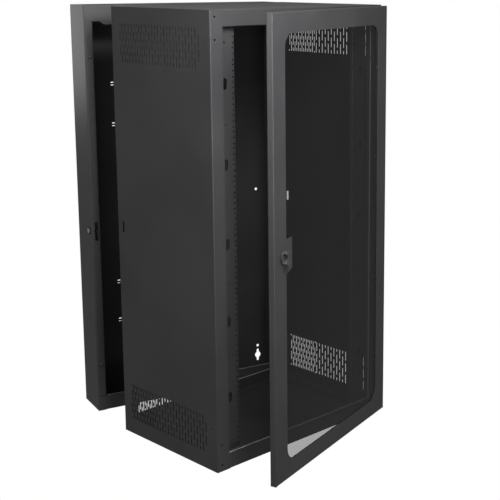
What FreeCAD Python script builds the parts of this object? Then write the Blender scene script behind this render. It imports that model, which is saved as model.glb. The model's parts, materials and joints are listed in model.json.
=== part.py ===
"""Swing-out wall mount network cabinet: wall section, 26 U rack section and window door.

Each section is drawn in its own closed frame, in millimetres: x to the right from its left side,
y back from its front face, z up from its underside. The place_ functions then swing the pieces
to the stored pose. The finished part has its origin at the centre of the wall section's back
face, +Z up and its front towards -Y.
"""
import FreeCAD, Part
import math
import os

V = FreeCAD.Vector

# ---------------------------------------------------------------- driving dimensions (mm)
SHEET = 1.5                    # steel sheet of every box section
BEND = 1.5                     # inside bend radius of the sheet

# rack section, the middle box
BODY_W = 652.6
BODY_H = 1254.4
BODY_D = 427.6
STILE_W = 45.0                 # front face of the left and right stiles
STILE_RETURN = 20.0            # how far a stile's inner edge is folded back
STILE_HEM = 26.0               # flange of a stile that lies inside the side panel
FRONT_RAIL_TOP = 44.5
FRONT_RAIL_BOTTOM = 48.0
FRONT_RAIL_LIP = 15.0
REAR_STILE_W = STILE_W
HINGE_SCREW_X = 17.2            # hinge bracket holes, from the side
HINGE_SCREW_LOW = 18.2          # and from the top and the underside
HINGE_SCREW_HIGH = 76.2
REAR_RAIL_H = 40.0

# 19 inch rack rails
UNIT = 44.45
RAIL_END_SPACE = 49.0          # least height kept free above and below the units
RACK_UNITS = int((BODY_H - 2 * RAIL_END_SPACE) // UNIT)
RAIL_HOLE_SPACING = 465.1      # between the hole columns
RAIL_OPENING = 450.85          # between the rails' inner edges
RAIL_HOLE_R = 2.4
UNIT_HOLES = (6.35, 22.225, 38.1)
RAIL_SHEET = 2.3
RAIL_SETBACK = 21.0            # rail face behind the front face
RAIL_WEB = 42.0
RAIL_LIP = 12.0
CHANNEL_W = 30.0               # front-to-back rail channels in the four long corners
CHANNEL_H = 14.5
CHANNEL_SHEET = 2.0
TIE_SLOT_W = 16.0
TIE_SLOT_H = 31.5
TIE_PITCH = 216.3
TIE_SLOT_FIRST = 193.5         # first obround below the rail's top end
TIE_HOLE_FIRST = 86.0
TIE_FROM_SIDE = 65.4
CHANNEL_SLOTS = 6
CHANNEL_SLOT_L = 32.0
CHANNEL_SLOT_W = 6.0
CHANNEL_SLOT_PITCH = 58.0
CHANNEL_SLOT_FIRST = 8.0       # first slot from the channel's front end
FOOT_D = 30.0                  # angle foot, front to back
FOOT_H = 40.0
FOOT_TOE = 14.0                # foot's base beyond the rail's web
FOOT_BEHIND = 6.0              # foot behind the rail's face
FOOT_BOLT_IN = 21.0            # both bolts behind the rail's face
FOOT_BOLT_UP = 25.0            # web bolt above the foot's base
RAIL_BOLT_L = 6.0

# side vents
VENT_FRONT = 45.2              # from the front face
VENT_FROM_END = 46.5           # from the top or the underside
SLOT_L = 29.5
SLOT_GAP = 9.0
SLOT_W = 4.0
SLOT_PITCH = 13.1
SLOT_COLUMNS = 18
FAN_PITCH = 7.9
FAN_COLUMNS = 15
FAN_FROM_SLOTS = 9.0
FAN_SCREW_R = 2.6
FAN_SCREW_IN = 1.5             # fan screw holes in from the vent's top and underside

# side panel details
SIDE_WINDOW_W = 10.0
SIDE_WINDOW_H = 30.0
SIDE_WINDOW_FROM_BACK = 23.0
SIDE_RIVET_Y = 18.0
SIDE_RIVET_Z = (77.0, 124.0)   # from the top and from the underside
RIVET_R = 2.4
RIVET_RIM = 1.2
RIVET_HEAD_H = 0.9

# wall section, the shallow rear box
SECTION_OVERHANG = 3.2          # wall section wider than the rack section
WALL_W = BODY_W + SECTION_OVERHANG
SECTION_STEP = 2.4              # wall section shorter than the rack section
WALL_H = BODY_H - SECTION_STEP
WALL_D = 123.0
WALL_FLANGE_W = 26.5
WALL_FLANGE_LIP = 10.0
WALL_RAIL_H = 47.0
WALL_RAIL_LIP = 9.5
WALL_RAIL_LIP_START = 50.0
WALL_RAIL_LAP = 8.0            # joggled lip welded behind the front flange
WALL_HOLE_R = 4.75
WALL_HOLE_FROM_SIDE = 38.2
WALL_HOLE_FROM_END = 72.5
KEYHOLE_FROM_END = 39.0
KEYHOLE_R = 10.5
KEYHOLE_SLOT_R = 4.3
KEYHOLE_LENGTH = 42.0
LANCE_FROM_SIDE = 123.2
LANCE_Z = (254.0, 381.0)       # above and below mid height
LANCE_SLIT_L = 9.0
LANCE_SLIT_H = 2.6
LANCE_GAP = 8.3
BRIDGE_RISE = 3.5              # lacing bridge in front of the back panel
BRIDGE_RAMP = 3.0
BRIDGE_FOOT = 2.0
BUMPER_R = 5.0
BUMPER_TIP_R = 3.0
BUMPER_H = 7.2
BUMPER_FROM_SIDE = 13.0
BUMPER_FROM_END = 151.5
FLANGE_GAP = 2.0               # hinge ears behind the right flange's lip

# swing hinge between wall section and rack section
SWING_GAP = 8.2                # closed gap between the two boxes
SWING_SIDE_STEP = 1.5          # rack section's right side inside the wall section's
SWING_PIN_FROM_SIDE = 6.5
SWING_PIN_FROM_BACK = 5.0
SWING_PIN_R = 2.5
EAR_SHEET = 3.0
EAR_R = 5.6
EAR_FROM_END = 26.0
EAR_DEPTH = 60.0               # ear's plate inside the wall section
EAR_LEG = 40.0                 # upright leg on the side
EAR_RIVET_UP = 24.0
EAR_RIVET_Y = (26.0, 48.0)
EAR_RIVET_R = 4.2
EAR_RIVET_H = 2.0
EAR_SIDE_ROOM = 1.5            # notch for the ear, beyond its outline
EAR_END_ROOM = 0.8             # and above and below it
SWING_PIN_TIP = 2.0            # tip beyond the ear
SWING_PIN_L = 62.0
SWING_COLLAR_R = 3.3
SWING_COLLAR_T = 2.4
SWING_HANDLE_R = 1.8
SWING_HANDLE_L = 22.0
HOUSING_SHEET = 2.0
HOUSING_NEAR = 9.0             # housing's plates from the pin's tip
HOUSING_FAR = 50.0
HOUSING_REACH = 11.0           # housing's inner edge from the pin
HOUSING_AHEAD = 10.0
SWING_OPEN = 15.0              # stored pose, degrees

# door
DOOR_W = 638.0
DOOR_Z0 = 9.0
DOOR_TOP_GAP = 2.9
DOOR_Z1 = BODY_H - DOOR_TOP_GAP
DOOR_T = 19.0
DOOR_GAP = 4.8
DOOR_LIP = 9.0
DOOR_HINGE_EDGE = 15.3         # depth of the door's flange on the hinge side
DOOR_PIN_FROM_SIDE = 8.5
DOOR_PIN_AHEAD = 12.5
DOOR_PIN_R = 2.5
BUSH_R = 3.5                    # bushings in the door's end flanges
DOOR_OPEN = 15.5               # stored pose, degrees
WINDOW_FREE = 59.0
WINDOW_HINGE = 56.0
WINDOW_TOP = 52.5
WINDOW_BOTTOM = 50.0
WINDOW_R = 38.0
TAB_W = 29.0
TAB_TOP = 663.0                # latch tab on the door, up from the door's lower edge
TAB_BOTTOM = 569.5
TAB_CHAMFER = 11.0
PANE_T = 3.0
PANE_TAB_IN = 16.0             # cut in the pane beside the latch
PANE_TAB_HALF = 30.0
RETAINER_TAB_IN = 20.0
RETAINER_TAB_HALF = 34.0
BRACKET_T = 2.0
BRACKET_W = 27.0               # hinge bracket's leg from the rack section's side
BRACKET_SCREW_L = 9.0
DOOR_EAR_INSET = 0.5           # ear's edge inside the leg's
BRACKET_LEG = 90.0             # leg's far end from the rack section's end
PANE_LAP = 12.0
RETAINER_T = 1.5
RETAINER_LEG = 11.0
RETAINER_DEPTH = 8.8
RETAINER_MITRE = 1.0           # gap between the upright and the level retainers
RETAINER_NUT_IN = 7.0          # nuts in from the retainers' outer edge
RETAINER_NUT_R = 3.4
RETAINER_NUT_H = 3.4
NUT_ROWS = (0.11, 0.34, 0.66, 0.89)   # along the pane's height
NUT_COLUMNS = (0.18, 0.5, 0.82)       # and across it
DOOR_PIN_UP = 9.0              # lower pin's tip above the door's underside
DOOR_PIN_FOOT_R = 4.2
DOOR_PIN_FOOT_T = 1.5
WASHER_R = 5.5
WASHER_T = 1.55
BUSH_FLANGE = 1.0              # bushing's flange beyond its collar
BUSH_FLANGE_T = 1.4
DOOR_EAR_GAP = 1.6             # lower ear under the door
TOP_EAR_GAP = 1.7              # upper ear under the door's top flange
EAR_NOTCH_IN = 3.0             # notch for the upper ear in the door's hinge flange
EAR_NOTCH_AHEAD = 7.0
LIP_ROOM = 8.0                 # door's lips stop this far short of the brackets
PIN_L = 66.0                   # spring-loaded upper door pin
PIN_DROP = 0.3                 # its tip under the door's top
PIN_COLLAR = 38.0              # its collar from the tip
PIN_COLLAR_R = 4.0
PIN_COLLAR_T = 2.0
PIN_GRIP = 64.0                # its handle from the tip
PIN_GRIP_R = 1.6
PIN_GRIP_L = 17.0
GUIDE_T = 1.5                  # U bracket that guides the upper pin
GUIDE_HIGH = 24.0              # its plates under the door's top
GUIDE_LOW = 58.0
GUIDE_REACH = 6.0
GUIDE_BACK = 3.6

# door latch
LATCH_FROM_EDGE = 47.5
LATCH_Z = 616.0                # up from the door's lower edge
KNOB_R = 19.0
KNOB_H = 13.0
KNOB_BASE = 4.0
SPINDLE_R = 5.0
SPINDLE_STEP = 1.0             # neck that the knob is pressed on
LATCH_CAM_Y = 5.5              # cam's front face behind the front frame's face
LATCH_CAM_T = 2.5
LATCH_CAM_L = 30.0
LATCH_CAM_W = 15.0
LATCH_SQUARE = 6.4             # square end that drives the cam
LATCH_SLEEVE = 2.5             # wall of the sleeve round the spindle
LATCH_SLEEVE_L = 9.0
LATCH_COLLAR_R = 12.0
LATCH_COLLAR_T = 1.0
LATCH_NUT_W = 22.0
LATCH_NUT_T = 5.0
CAM_NUT_W = 10.0
CAM_NUT_T = 3.5
CAM_ROOM = 2.0                 # stile's opening beyond the cam
KNOB_GAP = 1.2                 # knob in front of the door's face
KNOB_SOCKET = 6.0
KNOB_EDGE = 1.5
SCOOP_R = 0.82                 # scoops as shares of the knob's radius
SCOOP_OUT = 1.05

# wall section lock
LOCK_FROM_FRONT = 24.0
LOCK_Z = 573.5
LOCK_R = 4.5
LOCK_PLATE_W = 20.0
LOCK_PLATE_H = 24.0
LOCK_CAM_X = 13.0              # cam's left face from the wall section's left side
LOCK_CAM_T = 2.5
LOCK_CAM_L = 35.5
LOCK_CAM_W = 9.0
HOOK_H = 18.0
LOCK_SLOT_W = 11.0
LOCK_SLOT_H = 58.0
LOCK_SLOT_FROM_SIDE = 9.0
LOCK_SLEEVE = 2.0              # wall of the housing round the plug
LOCK_PLATE_T = 1.2
LOCK_PLATE_R = 2.5
LOCK_HEAD_RIM = 1.8
LOCK_HEAD_OUT = 3.4            # head's face from the side panel
LOCK_PLUG_OUT = 3.8
KEY_SLOT_W = 1.2
KEY_SLOT_L = 6.0
KEY_SLOT_IN = 1.5              # end of the key slot inside the panel's outer face
LOCK_SQUARE = 5.6
LOCK_NUT_W = 18.0
LOCK_NUT_T = 4.0
LOCK_SCREW_R = 4.4
LOCK_SCREW_H = 2.4
HOOK_TAIL = 8.0                # hook behind its pivot
HOOK_TIP = 6.0                 # length of the hooked end
HOOK_CROWN = 1.0
HOOK_BEVEL = 3.0
HOOK_BEAK_IN = 2.0
HOOK_THROAT_IN = 1.5
HOOK_ROOM = 3.5                # rear stile's slot beyond the hook

# clearances
RUNNING = 0.05                 # radial, pin in its hole
LOOSE = 0.4                    # radial, screw in its hole
SCREW_R = 2.5
HEAD_R = 4.6
HEAD_H = 2.4
HEAD_ROUND = 0.45              # rounding of the head, of its height
NEAR = 0.01                    # when two places count as the same
CUT = 1.0                      # how far a cutter stands clear of the sheet

# ---------------------------------------------------------------- derived places
EAR_START = WALL_FLANGE_LIP + FLANGE_GAP
HOUSING_R = LOCK_R + LOCK_SLEEVE
SLEEVE_R = SPINDLE_R + LATCH_SLEEVE
NECK_R = SPINDLE_R - SPINDLE_STEP
SWING_X = BODY_W - SWING_PIN_FROM_SIDE
SWING_Y = BODY_D - SWING_PIN_FROM_BACK
DOOR_PIVOT_X = BODY_W - DOOR_PIN_FROM_SIDE
DOOR_PIVOT_Y = -DOOR_PIN_AHEAD
DOOR_X0 = BODY_W - DOOR_W
DOOR_BACK = -DOOR_GAP
DOOR_FACE = -DOOR_GAP - DOOR_T
PANE_Y = DOOR_FACE + SHEET
PANE_X0 = DOOR_X0 + WINDOW_FREE - PANE_LAP
PANE_X1 = BODY_W - WINDOW_HINGE + PANE_LAP
PANE_Z0 = DOOR_Z0 + WINDOW_BOTTOM - PANE_LAP
PANE_Z1 = DOOR_Z1 - WINDOW_TOP + PANE_LAP
BRACKET_X0 = BODY_W - BRACKET_W
LOW_EAR_Z = DOOR_Z0 - DOOR_EAR_GAP      # top face of the lower ear, under the door
TOP_EAR_Z = DOOR_Z1 - SHEET - TOP_EAR_GAP      # and of the upper one, under its bushing
BODY_TO_WALL = V(WALL_W / 2 - SWING_SIDE_STEP - BODY_W, -WALL_D - SWING_GAP - BODY_D, -BODY_H / 2)
LATCH_X = DOOR_X0 + LATCH_FROM_EDGE
LATCH_UP = DOOR_Z0 + LATCH_Z
BODY_TO_SECTION_Z = (WALL_H - BODY_H) / 2
HOLE_X = (BODY_W - RAIL_HOLE_SPACING) / 2
RAIL_X1 = (BODY_W - RAIL_OPENING) / 2
RAIL_X0 = STILE_W              # rail's web in line with the stile's inner edge
FOOT_Z = SHEET + CHANNEL_H      # top of the rail channels
RAIL_Z0 = FOOT_Z + CHANNEL_SHEET
FOOT_BOLT_Y = RAIL_SETBACK + RAIL_SHEET + FOOT_BOLT_IN
FOOT_BOLT_X = 2 * SHEET + CHANNEL_W / 2
RAIL_Z1 = BODY_H - RAIL_Z0
UNIT_Z0 = (BODY_H - RACK_UNITS * UNIT) / 2
VENT_H = 3 * SLOT_L + 2 * SLOT_GAP


# ---------------------------------------------------------------- shape helpers
def box(x0, x1, y0, y1, z0, z1):
    return Part.makeBox(x1 - x0, y1 - y0, z1 - z0, V(x0, y0, z0))


def rod(radius, start, end):
    axis = end - start
    return Part.makeCylinder(radius, axis.Length, start, axis)


def fuse(shapes):
    first = shapes[0]
    return first.fuse(shapes[1:]).removeSplitter() if len(shapes) > 1 else first


def group(shapes):
    return Part.makeCompound(shapes)


def mirror_x(shape, width):
    """The same piece on the other side of a section of this width."""
    return shape.mirror(V(width / 2, 0, 0), V(1, 0, 0))


def prism(points, direction):
    """A closed outline of points pushed along a direction."""
    return Part.Face(Part.makePolygon(points + points[:1])).extrude(direction)


def folded(path, sheet, direction, to_3d):
    """Folded sheet: a centre-line path with bends at its corners, pushed along a direction."""
    radius = BEND + sheet / 2
    sides = {1: [], -1: []}
    for side in (1, -1):
        for i, (px, py) in enumerate(path):
            if i in (0, len(path) - 1):
                a = path[max(i - 1, 0)]
                b = path[min(i + 1, len(path) - 1)]
                length = math.hypot(b[0] - a[0], b[1] - a[1])
                normal = (-(b[1] - a[1]) / length, (b[0] - a[0]) / length)
                shift = side * sheet / 2
                sides[side].append([(px + normal[0] * shift, py + normal[1] * shift)])
                continue
            sides[side].append(bend_arc(path[i - 1], path[i], path[i + 1], radius, side * sheet / 2))
    outline = sides[1] + [list(reversed(step)) for step in reversed(sides[-1])]
    edges = []
    last = outline[-1][-1]
    for step in outline:
        start, end = to_3d(*last), to_3d(*step[0])
        if (end - start).Length > 1e-6:
            edges.append(Part.LineSegment(start, end).toShape())
        if len(step) == 3:
            edges.append(Part.Arc(*[to_3d(*p) for p in step]).toShape())
        last = step[-1]
    return Part.Face(Part.Wire(edges)).extrude(direction)


def bend_arc(before, corner, after, radius, shift):
    """Three points of the bend at a corner, on the line shift to the left of the path."""
    d1 = unit(before, corner)
    d2 = unit(corner, after)
    turn = math.copysign(1, d1[0] * d2[1] - d1[1] * d2[0])
    half = math.acos(d1[0] * d2[0] + d1[1] * d2[1]) / 2
    back = radius * math.tan(half)
    centre = (corner[0] - d1[0] * back - d1[1] * turn * radius,
              corner[1] - d1[1] * back + d1[0] * turn * radius)
    reach = radius - turn * shift
    spokes = [(d1[1] * turn, -d1[0] * turn), (d2[1] * turn, -d2[0] * turn)]
    middle = (spokes[0][0] + spokes[1][0], spokes[0][1] + spokes[1][1])
    size = math.hypot(*middle)
    spokes.insert(1, (middle[0] / size, middle[1] / size))
    return [(centre[0] + s[0] * reach, centre[1] + s[1] * reach) for s in spokes]


def unit(a, b):
    length = math.hypot(b[0] - a[0], b[1] - a[1])
    return ((b[0] - a[0]) / length, (b[1] - a[1]) / length)


def slot_cutter(length, radius, centre, through):
    """A round-ended slot along z that is cut through along a direction."""
    half = length / 2 - radius
    across = V(0, 0, 1).cross(through)
    across.normalize()
    up = V(0, 0, half)
    start = centre - through * 0.5
    side = across * radius
    top = V(0, 0, half + radius)
    edges = [
        Part.LineSegment(start - side - up, start - side + up).toShape(),
        Part.Arc(start - side + up, start + top, start + side + up).toShape(),
        Part.LineSegment(start + side + up, start + side - up).toShape(),
        Part.Arc(start + side - up, start - top, start - side - up).toShape(),
    ]
    return Part.Face(Part.Wire(edges)).extrude(through)


def screw(seat, direction, length, radius=SCREW_R):
    """Pan head screw: its head's underside on the seat, its shank along the direction."""
    crown = seat - direction * HEAD_H
    head = rod(HEAD_R, crown, seat)
    rims = [e for e in head.Edges if (e.BoundBox.Center - crown).Length < NEAR]
    head = head.makeFillet(HEAD_H * HEAD_ROUND, rims[:1])
    return head.fuse(rod(radius, seat, seat + direction * length)).removeSplitter()


def turned(shape, x, y, degrees):
    return shape.rotated(V(x, y, 0), V(0, 0, 1), degrees)


def place_wall(shape):
    return shape.translated(V(-WALL_W / 2, -WALL_D, -WALL_H / 2))


def place_body(shape):
    return turned(shape, SWING_X, SWING_Y, SWING_OPEN).translated(BODY_TO_WALL)


def place_door(shape):
    return place_body(turned(shape, DOOR_PIVOT_X, DOOR_PIVOT_Y, DOOR_OPEN))


# ---------------------------------------------------------------- wall section
def rear_back_panel():
    panel = box(0, WALL_W, WALL_D - SHEET, WALL_D, 0, WALL_H)
    through = V(0, 3 * SHEET, 0)
    y = WALL_D - 2 * SHEET
    cuts = []
    for x in (WALL_HOLE_FROM_SIDE, WALL_W - WALL_HOLE_FROM_SIDE):
        for z in (WALL_HOLE_FROM_END, WALL_H / 2, WALL_H - WALL_HOLE_FROM_END):
            cuts.append(rod(WALL_HOLE_R, V(x, y, z), V(x, y, z) + through))
        for z in (KEYHOLE_FROM_END, WALL_H - KEYHOLE_FROM_END):
            slot = slot_cutter(KEYHOLE_LENGTH, KEYHOLE_SLOT_R, V(x, WALL_D - SHEET / 2, z), through)
            cuts.append(slot.fuse(rod(KEYHOLE_R, V(x, y, z), V(x, y, z) + through)))
    for x in (LANCE_FROM_SIDE, WALL_W - LANCE_FROM_SIDE):
        for z in [WALL_H / 2 + s * z for z in LANCE_Z for s in (-1, 1)]:
            for slit in (z - LANCE_GAP / 2, z + LANCE_GAP / 2):
                cuts.append(box(x - LANCE_SLIT_L / 2, x + LANCE_SLIT_L / 2, y, y + through.y,
                                slit - LANCE_SLIT_H / 2, slit + LANCE_SLIT_H / 2))
    return panel.cut(cuts)


def lacing_bridges():
    """The four raised bridges between the lance slits, which cable ties loop round."""
    bridges = []
    for x in (LANCE_FROM_SIDE, WALL_W - LANCE_FROM_SIDE):
        for z in [WALL_H / 2 + s * z for z in LANCE_Z for s in (-1, 1)]:
            y = WALL_D - SHEET
            half = LANCE_SLIT_L / 2
            foot = y - SHEET / 2
            top = y - BRIDGE_RISE
            path = [(x - half - BRIDGE_FOOT, foot), (x - half, foot), (x - half + BRIDGE_RAMP, top),
                    (x + half - BRIDGE_RAMP, top), (x + half, foot), (x + half + BRIDGE_FOOT, foot)]
            z0 = z - LANCE_GAP / 2 + LANCE_SLIT_H / 2
            depth = LANCE_GAP - LANCE_SLIT_H
            outline = [V(px, py - SHEET / 2, z0) for px, py in path]
            outline += [V(px, py + SHEET / 2, z0) for px, py in reversed(path)]
            bridges.append(prism(outline, V(0, 0, depth)))
    return group(bridges)


def rear_side_left():
    """Side wall with its front flange and lip; a slot in the flange lets the lock's hook out."""
    mid = SHEET / 2
    path = [(mid, WALL_D - SHEET), (mid, mid), (WALL_FLANGE_W - mid, mid),
            (WALL_FLANGE_W - mid, WALL_FLANGE_LIP)]
    side = folded(path, SHEET, V(0, 0, WALL_H), lambda x, y: V(x, y, 0))
    slot = box(LOCK_SLOT_FROM_SIDE, LOCK_SLOT_FROM_SIDE + LOCK_SLOT_W, -CUT, 2 * SHEET,
               LOCK_Z - LOCK_SLOT_H / 2, LOCK_Z + LOCK_SLOT_H / 2)
    return side.cut(slot)


def rear_side_right():
    side = mirror_x(rear_side_left(), WALL_W)
    ears = [ear_window(z) for z in ear_heights()]
    return side.cut(ears)


def ear_heights():
    """Underside of each hinge ear, up from the wall section's underside."""
    return (EAR_FROM_END, WALL_H - EAR_FROM_END - EAR_SHEET)


def ear_window(z):
    """Window in the right flange that a hinge ear passes through."""
    return box(WALL_W - WALL_FLANGE_W - CUT, WALL_W - SHEET, -CUT, WALL_FLANGE_LIP + CUT,
               z - LOOSE, z + EAR_SHEET + LOOSE)


def lock_side_left():
    """The left side with the hole that the lock's housing goes through."""
    hole = rod(HOUSING_R + RUNNING, lock_point(-CUT), lock_point(3 * SHEET))
    return rear_side_left().cut(hole)


def wall_rail():
    """Lower end of the wall section: its floor, front flange and joggled inner lip."""
    mid = SHEET / 2
    floor = box(SHEET, WALL_W - SHEET, SHEET + BEND, WALL_D - SHEET, 0, SHEET)
    path = [(WALL_D - SHEET, mid), (mid, mid), (mid, WALL_RAIL_H)]
    width = WALL_W - 2 * WALL_FLANGE_W
    front = folded(path, SHEET, V(width, 0, 0), lambda y, z: V(WALL_FLANGE_W, y, z))
    x0 = WALL_RAIL_LIP_START
    x1 = WALL_W - WALL_RAIL_LIP_START
    top = WALL_RAIL_H + WALL_RAIL_LIP
    low = WALL_RAIL_H - WALL_RAIL_LAP
    lip = prism([V(x0, SHEET, low), V(x1, SHEET, low), V(x1, SHEET, WALL_RAIL_H),
                 V(x1 - WALL_RAIL_LIP, SHEET, top), V(x0 + WALL_RAIL_LIP, SHEET, top),
                 V(x0, SHEET, WALL_RAIL_H)], V(0, SHEET, 0))
    ends = floor.cut(box(WALL_FLANGE_W, WALL_FLANGE_W + width, 0, WALL_D, -CUT, 2 * SHEET))
    rail = fuse([front, ends, lip])
    lips = [box(x, x + 2 * SHEET, 0, WALL_FLANGE_LIP + LOOSE, -CUT, SHEET + CUT)
            for x in (WALL_FLANGE_W - 2 * SHEET, WALL_W - WALL_FLANGE_W)]
    return rail.cut(lips)


def rear_bottom():
    return wall_rail()


def rear_top():
    return wall_rail().mirror(V(0, 0, WALL_H / 2), V(0, 0, 1))


def rear_bumpers():
    """Rubber bumpers that the closed rack section rests on."""
    bumpers = []
    for z in (BUMPER_FROM_END, WALL_H - BUMPER_FROM_END):
        seat = V(BUMPER_FROM_SIDE, 0, z)
        neck = seat - V(0, BUMPER_H / 2, 0)
        cone = Part.makeCone(BUMPER_R, BUMPER_TIP_R, BUMPER_H / 2, neck, V(0, -1, 0))
        bumpers.append(rod(BUMPER_R, seat, neck).fuse(cone))
    return group(bumpers)


def swing_ears():
    """Two hinge ears: an upright leg on the right wall and a level ear with the pin's hole."""
    ears = []
    x_wall = WALL_W - SHEET
    pin_x = BODY_TO_WALL.x + WALL_W / 2 + SWING_X
    pin_y = BODY_TO_WALL.y + WALL_D + SWING_Y
    up = V(0, 0, EAR_SHEET)
    for z, sense in zip(ear_heights(), (1, -1)):
        plate = box(pin_x - EAR_R, pin_x + EAR_R, pin_y, 0, z, z + EAR_SHEET)
        inner = box(pin_x - EAR_R, x_wall, EAR_START, EAR_DEPTH, z, z + EAR_SHEET)
        neck = box(pin_x - EAR_R, x_wall, 0, EAR_START, z, z + EAR_SHEET)
        pin = V(pin_x, pin_y, z)
        nose = rod(EAR_R, pin, pin + up)
        leg_z = z if sense > 0 else z + EAR_SHEET - EAR_LEG
        leg = box(x_wall - EAR_SHEET, x_wall, EAR_START, EAR_DEPTH, leg_z, leg_z + EAR_LEG)
        hole = rod(SWING_PIN_R + RUNNING, pin - up, pin + up * 2)
        ears.append(fuse([plate, inner, neck, nose, leg]).cut(hole))
    return group(ears)


def swing_ear_rivets():
    """Rivets that hold the ears' legs to the wall section's right side."""
    rivets = []
    for z, sense in zip(ear_heights(), (1, -1)):
        for y in EAR_RIVET_Y:
            height = z + sense * EAR_RIVET_UP + EAR_SHEET / 2
            seat = V(WALL_W - SHEET - EAR_SHEET, y, height)
            rivets.append(rod(EAR_RIVET_R, seat - V(EAR_RIVET_H, 0, 0), seat))
    return group(rivets)


# the wall section's lock: a cam lock that turns about the x axis
def lock_point(x):
    return V(x, LOCK_FROM_FRONT, LOCK_Z)


def rear_lock_plate():
    """Black plate under the lock's head."""
    centre = lock_point(0)
    plate = box(-LOCK_PLATE_T, 0, centre.y - LOCK_PLATE_W / 2, centre.y + LOCK_PLATE_W / 2,
                centre.z - LOCK_PLATE_H / 2, centre.z + LOCK_PLATE_H / 2)
    corners = [e for e in plate.Edges if abs(e.BoundBox.XLength - LOCK_PLATE_T) < NEAR]
    plate = plate.makeFillet(LOCK_PLATE_R, corners)
    return plate.cut(rod(HOUSING_R + RUNNING, lock_point(-LOCK_PLATE_T - CUT), lock_point(CUT)))


def rear_lock_housing():
    """Threaded housing with a round head, bored for the plug."""
    head = rod(HOUSING_R + LOCK_HEAD_RIM, lock_point(-LOCK_HEAD_OUT), lock_point(-LOCK_PLATE_T))
    body = rod(HOUSING_R, lock_point(-LOCK_PLATE_T), lock_point(LOCK_CAM_X - 2 * LOOSE))
    bore = rod(LOCK_R + RUNNING, lock_point(-LOCK_HEAD_OUT - CUT), lock_point(LOCK_CAM_X))
    return fuse([head, body]).cut(bore)


def rear_lock_nut():
    nut = hexagon(lock_point(SHEET), V(1, 0, 0), LOCK_NUT_W, LOCK_NUT_T)
    return nut.cut(rod(HOUSING_R + RUNNING, lock_point(0), lock_point(LOCK_CAM_X)))


def hexagon(centre, axis, across_flats, thickness):
    """Hexagonal nut blank whose near face is centred on a point."""
    side = axis.cross(V(0, 0, 1)) if abs(axis.z) < 0.5 else V(1, 0, 0)
    side.normalize()
    up = axis.cross(side)
    reach = across_flats / 2 / math.cos(math.pi / 6)
    points = [centre + side * (reach * math.cos(a)) + up * (reach * math.sin(a))
              for a in [k * math.pi / 3 for k in range(6)]]
    return prism(points, axis * thickness)


def rear_lock_plug():
    """Turning key plug with its key slot and the square end that drives the cam."""
    end = LOCK_CAM_X - LOOSE
    barrel = rod(LOCK_R, lock_point(-LOCK_PLUG_OUT), lock_point(end))
    key = lock_block(-LOCK_PLUG_OUT - CUT, KEY_SLOT_IN, KEY_SLOT_W, KEY_SLOT_L)
    square = lock_block(end, LOCK_CAM_X + LOCK_CAM_T, LOCK_SQUARE, LOCK_SQUARE)
    return fuse([barrel, square]).cut(key)


def lock_block(x0, x1, depth, height):
    """A block centred on the lock's axis."""
    return box(x0, x1, LOCK_FROM_FRONT - depth / 2, LOCK_FROM_FRONT + depth / 2,
               LOCK_Z - height / 2, LOCK_Z + height / 2)


def rear_lock_hook():
    """Steel hook on the plug's square: it points forward, out through the flange's slot."""
    centre = lock_point(LOCK_CAM_X)
    half = LOCK_CAM_W / 2
    tip = centre.y - LOCK_CAM_L
    tail = centre.y + HOOK_TAIL
    throat = tip + HOOK_TIP
    beak = centre.z - HOOK_H + half
    low = centre.z - half
    high = centre.z + half
    outline = [(tail, low), (tail, high), (throat, high + HOOK_CROWN), (tip, high - HOOK_BEVEL),
               (tip + HOOK_BEAK_IN, beak), (throat, beak), (throat + HOOK_THROAT_IN, low)]
    hook = prism([V(centre.x, y, z) for y, z in outline], V(LOCK_CAM_T, 0, 0))
    return hook.cut(lock_block(centre.x - CUT, centre.x + LOCK_CAM_T + CUT, LOCK_SQUARE, LOCK_SQUARE))


def rear_lock_screw():
    start = lock_point(LOCK_CAM_X + LOCK_CAM_T)
    return rod(LOCK_SCREW_R, start, start + V(LOCK_SCREW_H, 0, 0))


# ---------------------------------------------------------------- rack section
def vent_cutters(x0, x1, z_end, rising):
    """Both vent zones as cutters; z_end is the edge by the section's end, rising its sense."""
    cuts = []

    def slot(y, start, end):
        low, high = sorted((z_end + rising * start, z_end + rising * end))
        cuts.append(box(x0, x1, y, y + SLOT_W, low, high))

    def column(y, kind):
        period = SLOT_L + SLOT_GAP
        shift = period / 2
        if kind == "full":
            for k in range(3):
                slot(y, k * period, k * period + SLOT_L)
            return
        for k in range(2):
            slot(y, shift + k * period, shift + k * period + SLOT_L)
        if kind == "half":
            slot(y, 0, shift - SLOT_GAP)
            slot(y, VENT_H - shift + SLOT_GAP, VENT_H)

    for k in range(SLOT_COLUMNS):
        kind = "half" if k % 2 == SLOT_COLUMNS % 2 else "full"
        column(VENT_FRONT + k * SLOT_PITCH, "short" if k == 0 else kind)
    fan_y = VENT_FRONT + (SLOT_COLUMNS - 1) * SLOT_PITCH + FAN_FROM_SLOTS
    for k in range(FAN_COLUMNS):
        kind = "half" if k % 2 == 0 else "full"
        column(fan_y + k * FAN_PITCH, "short" if k in (0, FAN_COLUMNS - 1) else kind)
    span = (FAN_COLUMNS - 1) * FAN_PITCH + SLOT_W
    for y in (fan_y, fan_y + span):
        for up in (FAN_SCREW_IN, VENT_H - FAN_SCREW_IN):
            z = z_end + rising * up
            cuts.append(rod(FAN_SCREW_R, V(x0, y, z), V(x1, y, z)))
    return cuts


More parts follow.
